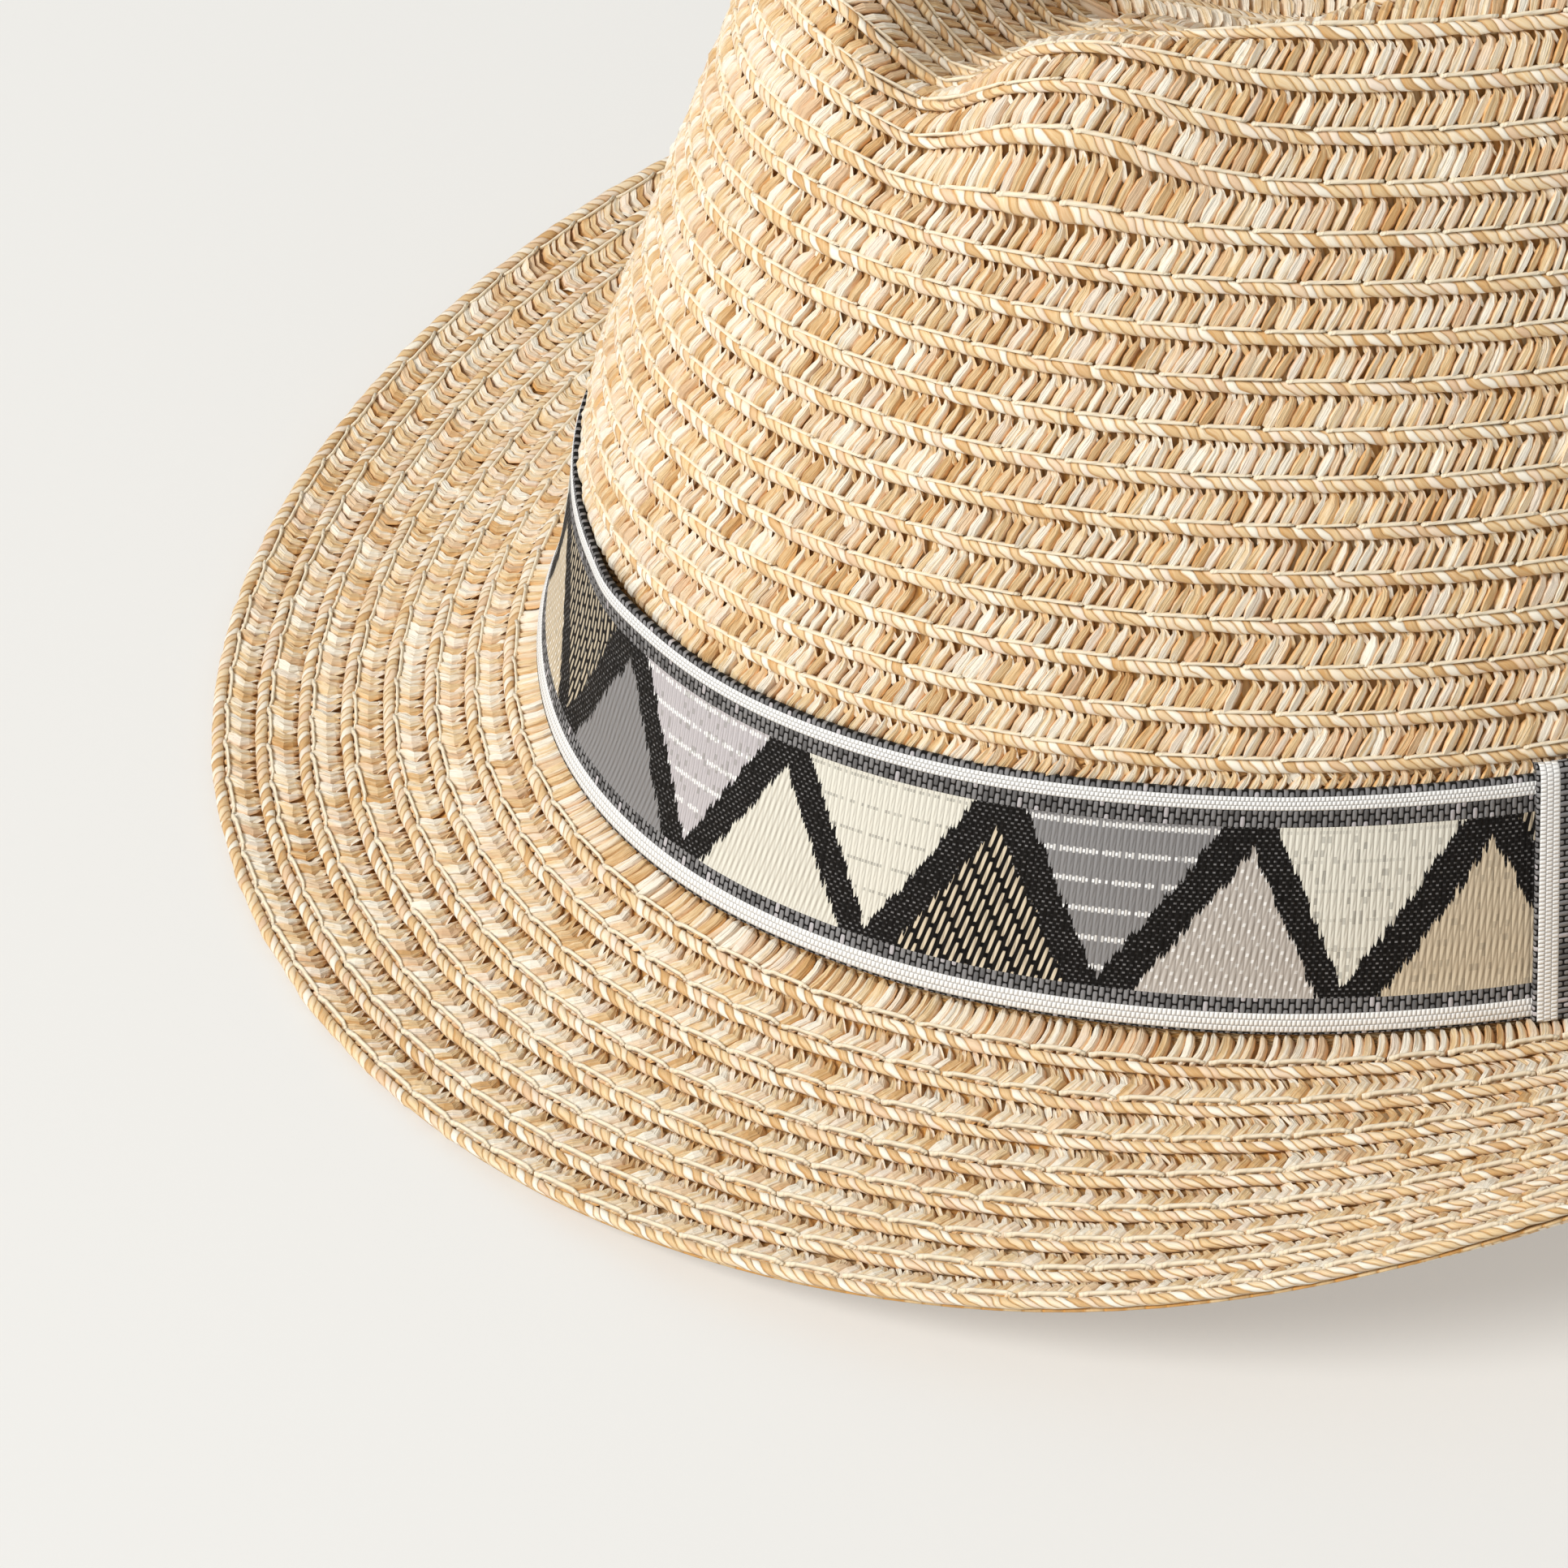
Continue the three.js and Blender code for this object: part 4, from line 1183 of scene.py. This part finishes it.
    # Stripes along both edges
    low_white, high_white = up.between(*LOW_WHITE), up.between(*HIGH_WHITE)
    bead_row = board.mix_value(low_white, (up - HIGH_WHITE[0]) / HIGH_BEAD_ROW,
                               (up - LOW_WHITE[0]) / LOW_BEAD_ROW)
    bead = (place / BEAD_PITCH + bead_row.floor() * 0.5).fract().hump(2) * bead_row.fract().hump(4)
    beads = board.mix(bead.rise(0.0, 0.35), BEAD_SHADE, white)
    tick = place / TICK_WIDTH
    tick_row = up / TICK_HEIGHT + (tick.floor() * 0.5).fract()
    fleck = board.ramp(board.speckle(tick.floor(), tick_row.floor()),
                       [(0.0, [c * 0.6 for c in grey]), (0.25, grey), (0.93, lilac)], "CONSTANT")
    mottle = tick.fract().hump(2) * tick_row.fract().hump(4)
    mottled = board.mix(mottle.rise(0.25, 0.6) * 0.9, black, fleck)
    whites = low_white.highest(high_white)
    inside = up.between(*PATTERN_FIELD)
    colour = board.mix(inside, board.mix(whites, mottled, beads), field)

    stripe_height = board.mix_value(whites, mottle, bead)
    field_height = (1 - side * side) * (1 - slanting * 0.3)
    height = board.mix_value(inside, stripe_height, field_height * 0.8)
    fluff = board.noise(board.join(place * 9, up * 9), 1.0, 2.0)
    return board.finish({"Base Color": colour, "Roughness": 0.76 + fluff * 0.12, "Specular IOR Level": 0.15,
                         "Sheen Weight": 0.03, "Normal": board.bump(height + fluff * 0.25, 0.22 * MM, 0.8)})


CROWN_PIECES = {"crown_braid_low": range(-1, 4), "crown_braid_middle": range(4, 9),
                "crown_braid_high": range(9, 15), "crown_braid_tip": range(15, 22)}
BRIM_PIECES = {"brim_braid_outer": range(0, 4), "brim_braid_inner": range(4, 8)}


def braid_random(braid, name):
    return np.random.default_rng([braid.seed, *name.encode()])


class TRILBY_OT_bed(bpy.types.Operator):
    """Lay the sheet that carries the strands and lines the inside of the crown"""
    bl_idname = "trilby.bed"
    bl_label = "Straw Bed"

    def execute(self, context):
        settle(straw_bed(bed_material(context.scene.trilby_braid)), "straw", "straw_body")
        return {"FINISHED"}


class TRILBY_OT_crown(bpy.types.Operator):
    """Plait the rows of the crown"""
    bl_idname = "trilby.crown"
    bl_label = "Crown Braid"

    def execute(self, context):
        braid = context.scene.trilby_braid
        straw, strands = straw_material("Crown straw", braid), plaited(CROWN_STRAND)
        for name, rows in CROWN_PIECES.items():
            plait_piece(braid, name, [(crown_row(n), strands) for n in rows], straw, clear_of_ribbon)
        return {"FINISHED"}


class TRILBY_OT_brim(bpy.types.Operator):
    """Plait the rows of the brim, above and below"""
    bl_idname = "trilby.brim"
    bl_label = "Brim Braid"

    def execute(self, context):
        braid = context.scene.trilby_braid
        straw = straw_material("Brim straw", braid)
        plaits = [plaited(BRIM_STRAND)] * (BRIM_ROWS - 1) + [plaited(LAST_BRIM_STRAND, slivers=False)]
        for name, rows in BRIM_PIECES.items():
            plait_piece(braid, name, [(brim_row(n), plaits[n]) for n in rows], straw)
        under = plaited(BRIM_STRAND[:2] + BRIM_STRAND[3:], slivers=False)
        rows = [(under_row(n), under) for n in range(BRIM_ROWS)]
        plait_piece(braid, "brim_braid_under", rows, straw, inside_edge)
        return {"FINISHED"}


class TRILBY_OT_cords(bpy.types.Operator):
    """Lay the twisted cords along the edges of the rows"""
    bl_idname = "trilby.cords"
    bl_label = "Cords"

    def execute(self, context):
        braid = context.scene.trilby_braid
        straw = cord_material("Cord straw", braid)
        runs = {"crown_cords": [crown_row(n) for n in range(CROWN_ROWS)],
                "brim_cords": [brim_row(n) for n in range(BRIM_ROWS)],
                "under_cords": [under_row(n) for n in range(BRIM_ROWS)]}
        for name, rows in runs.items():
            settle(cords(rows, braid_random(braid, name), name, straw), "straw", "straw_body")
        return {"FINISHED"}


class TRILBY_OT_thread(bpy.types.Operator):
    """Sew the rows together along their cords"""
    bl_idname = "trilby.thread"
    bl_label = "Sewing Thread"

    def execute(self, context):
        braid = context.scene.trilby_braid
        name = "sewing_thread"
        settle(sewing_thread(braid, braid_random(braid, name), name, thread_material(braid)), "straw",
               "straw_body")
        return {"FINISHED"}


class TRILBY_OT_ribbon(bpy.types.Operator):
    """Wrap the woven ribbon round the crown"""
    bl_idname = "trilby.ribbon"
    bl_label = "Ribbon"

    def execute(self, context):
        settle(ribbon_band(ribbon_material(context.scene.trilby_ribbon)), "ribbon", "hat_band")
        return {"FINISHED"}


class TRILBY_OT_keeper(bpy.types.Operator):
    """Set the keeper over the ribbon's join"""
    bl_idname = "trilby.keeper"
    bl_label = "Keeper"

    def execute(self, context):
        settle(keeper_loop(bpy.data.materials["Woven ribbon"]), "ribbon", "band_keeper")
        return {"FINISHED"}


# Stage

KEY_PLACE, KEY_SIZE, KEY_COLOUR = (0.7, -2.2, 2.05), 1.5, (1.0, 0.98, 0.945)
SKY_COLOUR = (1.0, 0.985, 0.96, 1)
GLOW_COLOUR = (1.0, 0.995, 0.97)


class StageSettings(bpy.types.PropertyGroup):
    floor_colour: colour_setting("Floor", "Colour of the surface that the hat lies on", (0.52, 0.52, 0.51))
    floor_glow: bpy.props.FloatProperty(
        name="Floor glow", description="Light that comes through the surface, which thins the shadow",
        default=0.31, min=0)
    floor_size: bpy.props.FloatProperty(
        name="Floor size", description="Width of the floor", default=6.0, min=1, unit="LENGTH")
    key_power: bpy.props.FloatProperty(
        name="Key light", description="Power of the large soft light in watts", default=77.0, min=0)
    sky: bpy.props.FloatProperty(
        name="Sky", description="Strength of the light from all round", default=0.51, min=0)


def set_camera():
    level = math.cos(VIEW_ELEVATION)
    back = Vector((math.sin(VIEW_AZIMUTH) * level, -math.cos(VIEW_AZIMUTH) * level, math.sin(VIEW_ELEVATION)))
    right = Vector((math.cos(VIEW_AZIMUTH), math.sin(VIEW_AZIMUTH), 0))
    up = back.cross(right)
    middle = FRAME_PIXELS / 2
    place = AIM + back * VIEW_DISTANCE - right * (AIM_PIXEL[0] - middle) / PIXELS_PER_MM
    place += up * (AIM_PIXEL[1] - middle) / PIXELS_PER_MM
    data = bpy.data.cameras.new("camera")
    data.sensor_width = SENSOR_MM
    data.lens = PIXELS_PER_MM * VIEW_DISTANCE * SENSOR_MM / FRAME_PIXELS
    data.clip_start, data.clip_end = 0.05, 20
    camera = bpy.data.objects.new("camera", data)
    camera.location = (place - Vector(MIDDLE)) * MM
    camera.rotation_euler = (-back).to_track_quat("-Z", "Y").to_euler()
    bpy.context.scene.collection.objects.link(camera)
    bpy.context.scene.camera = camera


def soft_light(name, place, size, power, colour):
    data = bpy.data.lights.new(name, "AREA")
    data.shape = "DISK"
    data.size = size
    data.energy = power
    data.color = colour
    lamp = bpy.data.objects.new(name, data)
    lamp.location = place
    lamp.rotation_euler = (-Vector(place)).to_track_quat("-Z", "Y").to_euler()
    bpy.context.scene.collection.objects.link(lamp)


def floor_material(stage):
    board = Board("Pale floor")
    place = board.node("ShaderNodeTexCoord", {}, {}, "Object")
    grain = board.noise(place, 300.0)
    return board.finish({"Base Color": tuple(stage.floor_colour), "Roughness": 0.9,
                         "Specular IOR Level": 0.2, "Emission Color": GLOW_COLOUR,
                         "Emission Strength": stage.floor_glow,
                         "Normal": board.bump(grain, 0.05 * MM, 0.3)})


class TRILBY_OT_stage(bpy.types.Operator):
    """Set the floor, the lights and the camera"""
    bl_idname = "trilby.stage"
    bl_label = "Stage"

    def execute(self, context):
        stage = context.scene.trilby_stage
        bpy.ops.object.select_all(action="DESELECT")
        bpy.ops.mesh.primitive_plane_add(size=stage.floor_size, location=(0, 0, 0))
        floor = bpy.context.object
        floor.name = "floor"
        floor.data.materials.append(floor_material(stage))
        soft_light("key", KEY_PLACE, KEY_SIZE, stage.key_power, KEY_COLOUR)
        world = bpy.data.worlds.new("studio")
        world.use_nodes = True
        background = world.node_tree.nodes["Background"]
        background.inputs["Color"].default_value = SKY_COLOUR
        background.inputs["Strength"].default_value = stage.sky
        context.scene.world = world
        context.scene.view_settings.view_transform = "Standard"
        set_camera()
        return {"FINISHED"}


class TRILBY_PT_panel(bpy.types.Panel):
    """Lists the steps that make the hat"""
    bl_idname = "TRILBY_PT_panel"
    bl_label = "Straw Trilby"
    bl_space_type = "VIEW_3D"
    bl_region_type = "UI"
    bl_category = "Trilby"

    def draw(self, context):
        for step in STEPS:
            self.layout.operator(step.bl_idname)


STEPS = [TRILBY_OT_stage, TRILBY_OT_bed, TRILBY_OT_crown, TRILBY_OT_brim, TRILBY_OT_cords,
         TRILBY_OT_thread, TRILBY_OT_ribbon, TRILBY_OT_keeper]
CLASSES = [BraidSettings, RibbonSettings, StageSettings, *STEPS, TRILBY_PT_panel]


def register():
    for item in CLASSES:
        bpy.utils.register_class(item)
    bpy.types.Scene.trilby_braid = bpy.props.PointerProperty(type=BraidSettings)
    bpy.types.Scene.trilby_ribbon = bpy.props.PointerProperty(type=RibbonSettings)
    bpy.types.Scene.trilby_stage = bpy.props.PointerProperty(type=StageSettings)


def unregister():
    del bpy.types.Scene.trilby_stage
    del bpy.types.Scene.trilby_ribbon
    del bpy.types.Scene.trilby_braid
    for item in reversed(CLASSES):
        bpy.utils.unregister_class(item)


def main():
    register()
    for step in STEPS:
        group, action = step.bl_idname.split(".")
        getattr(getattr(bpy.ops, group), action)()


if __name__ == "__main__":
    main()
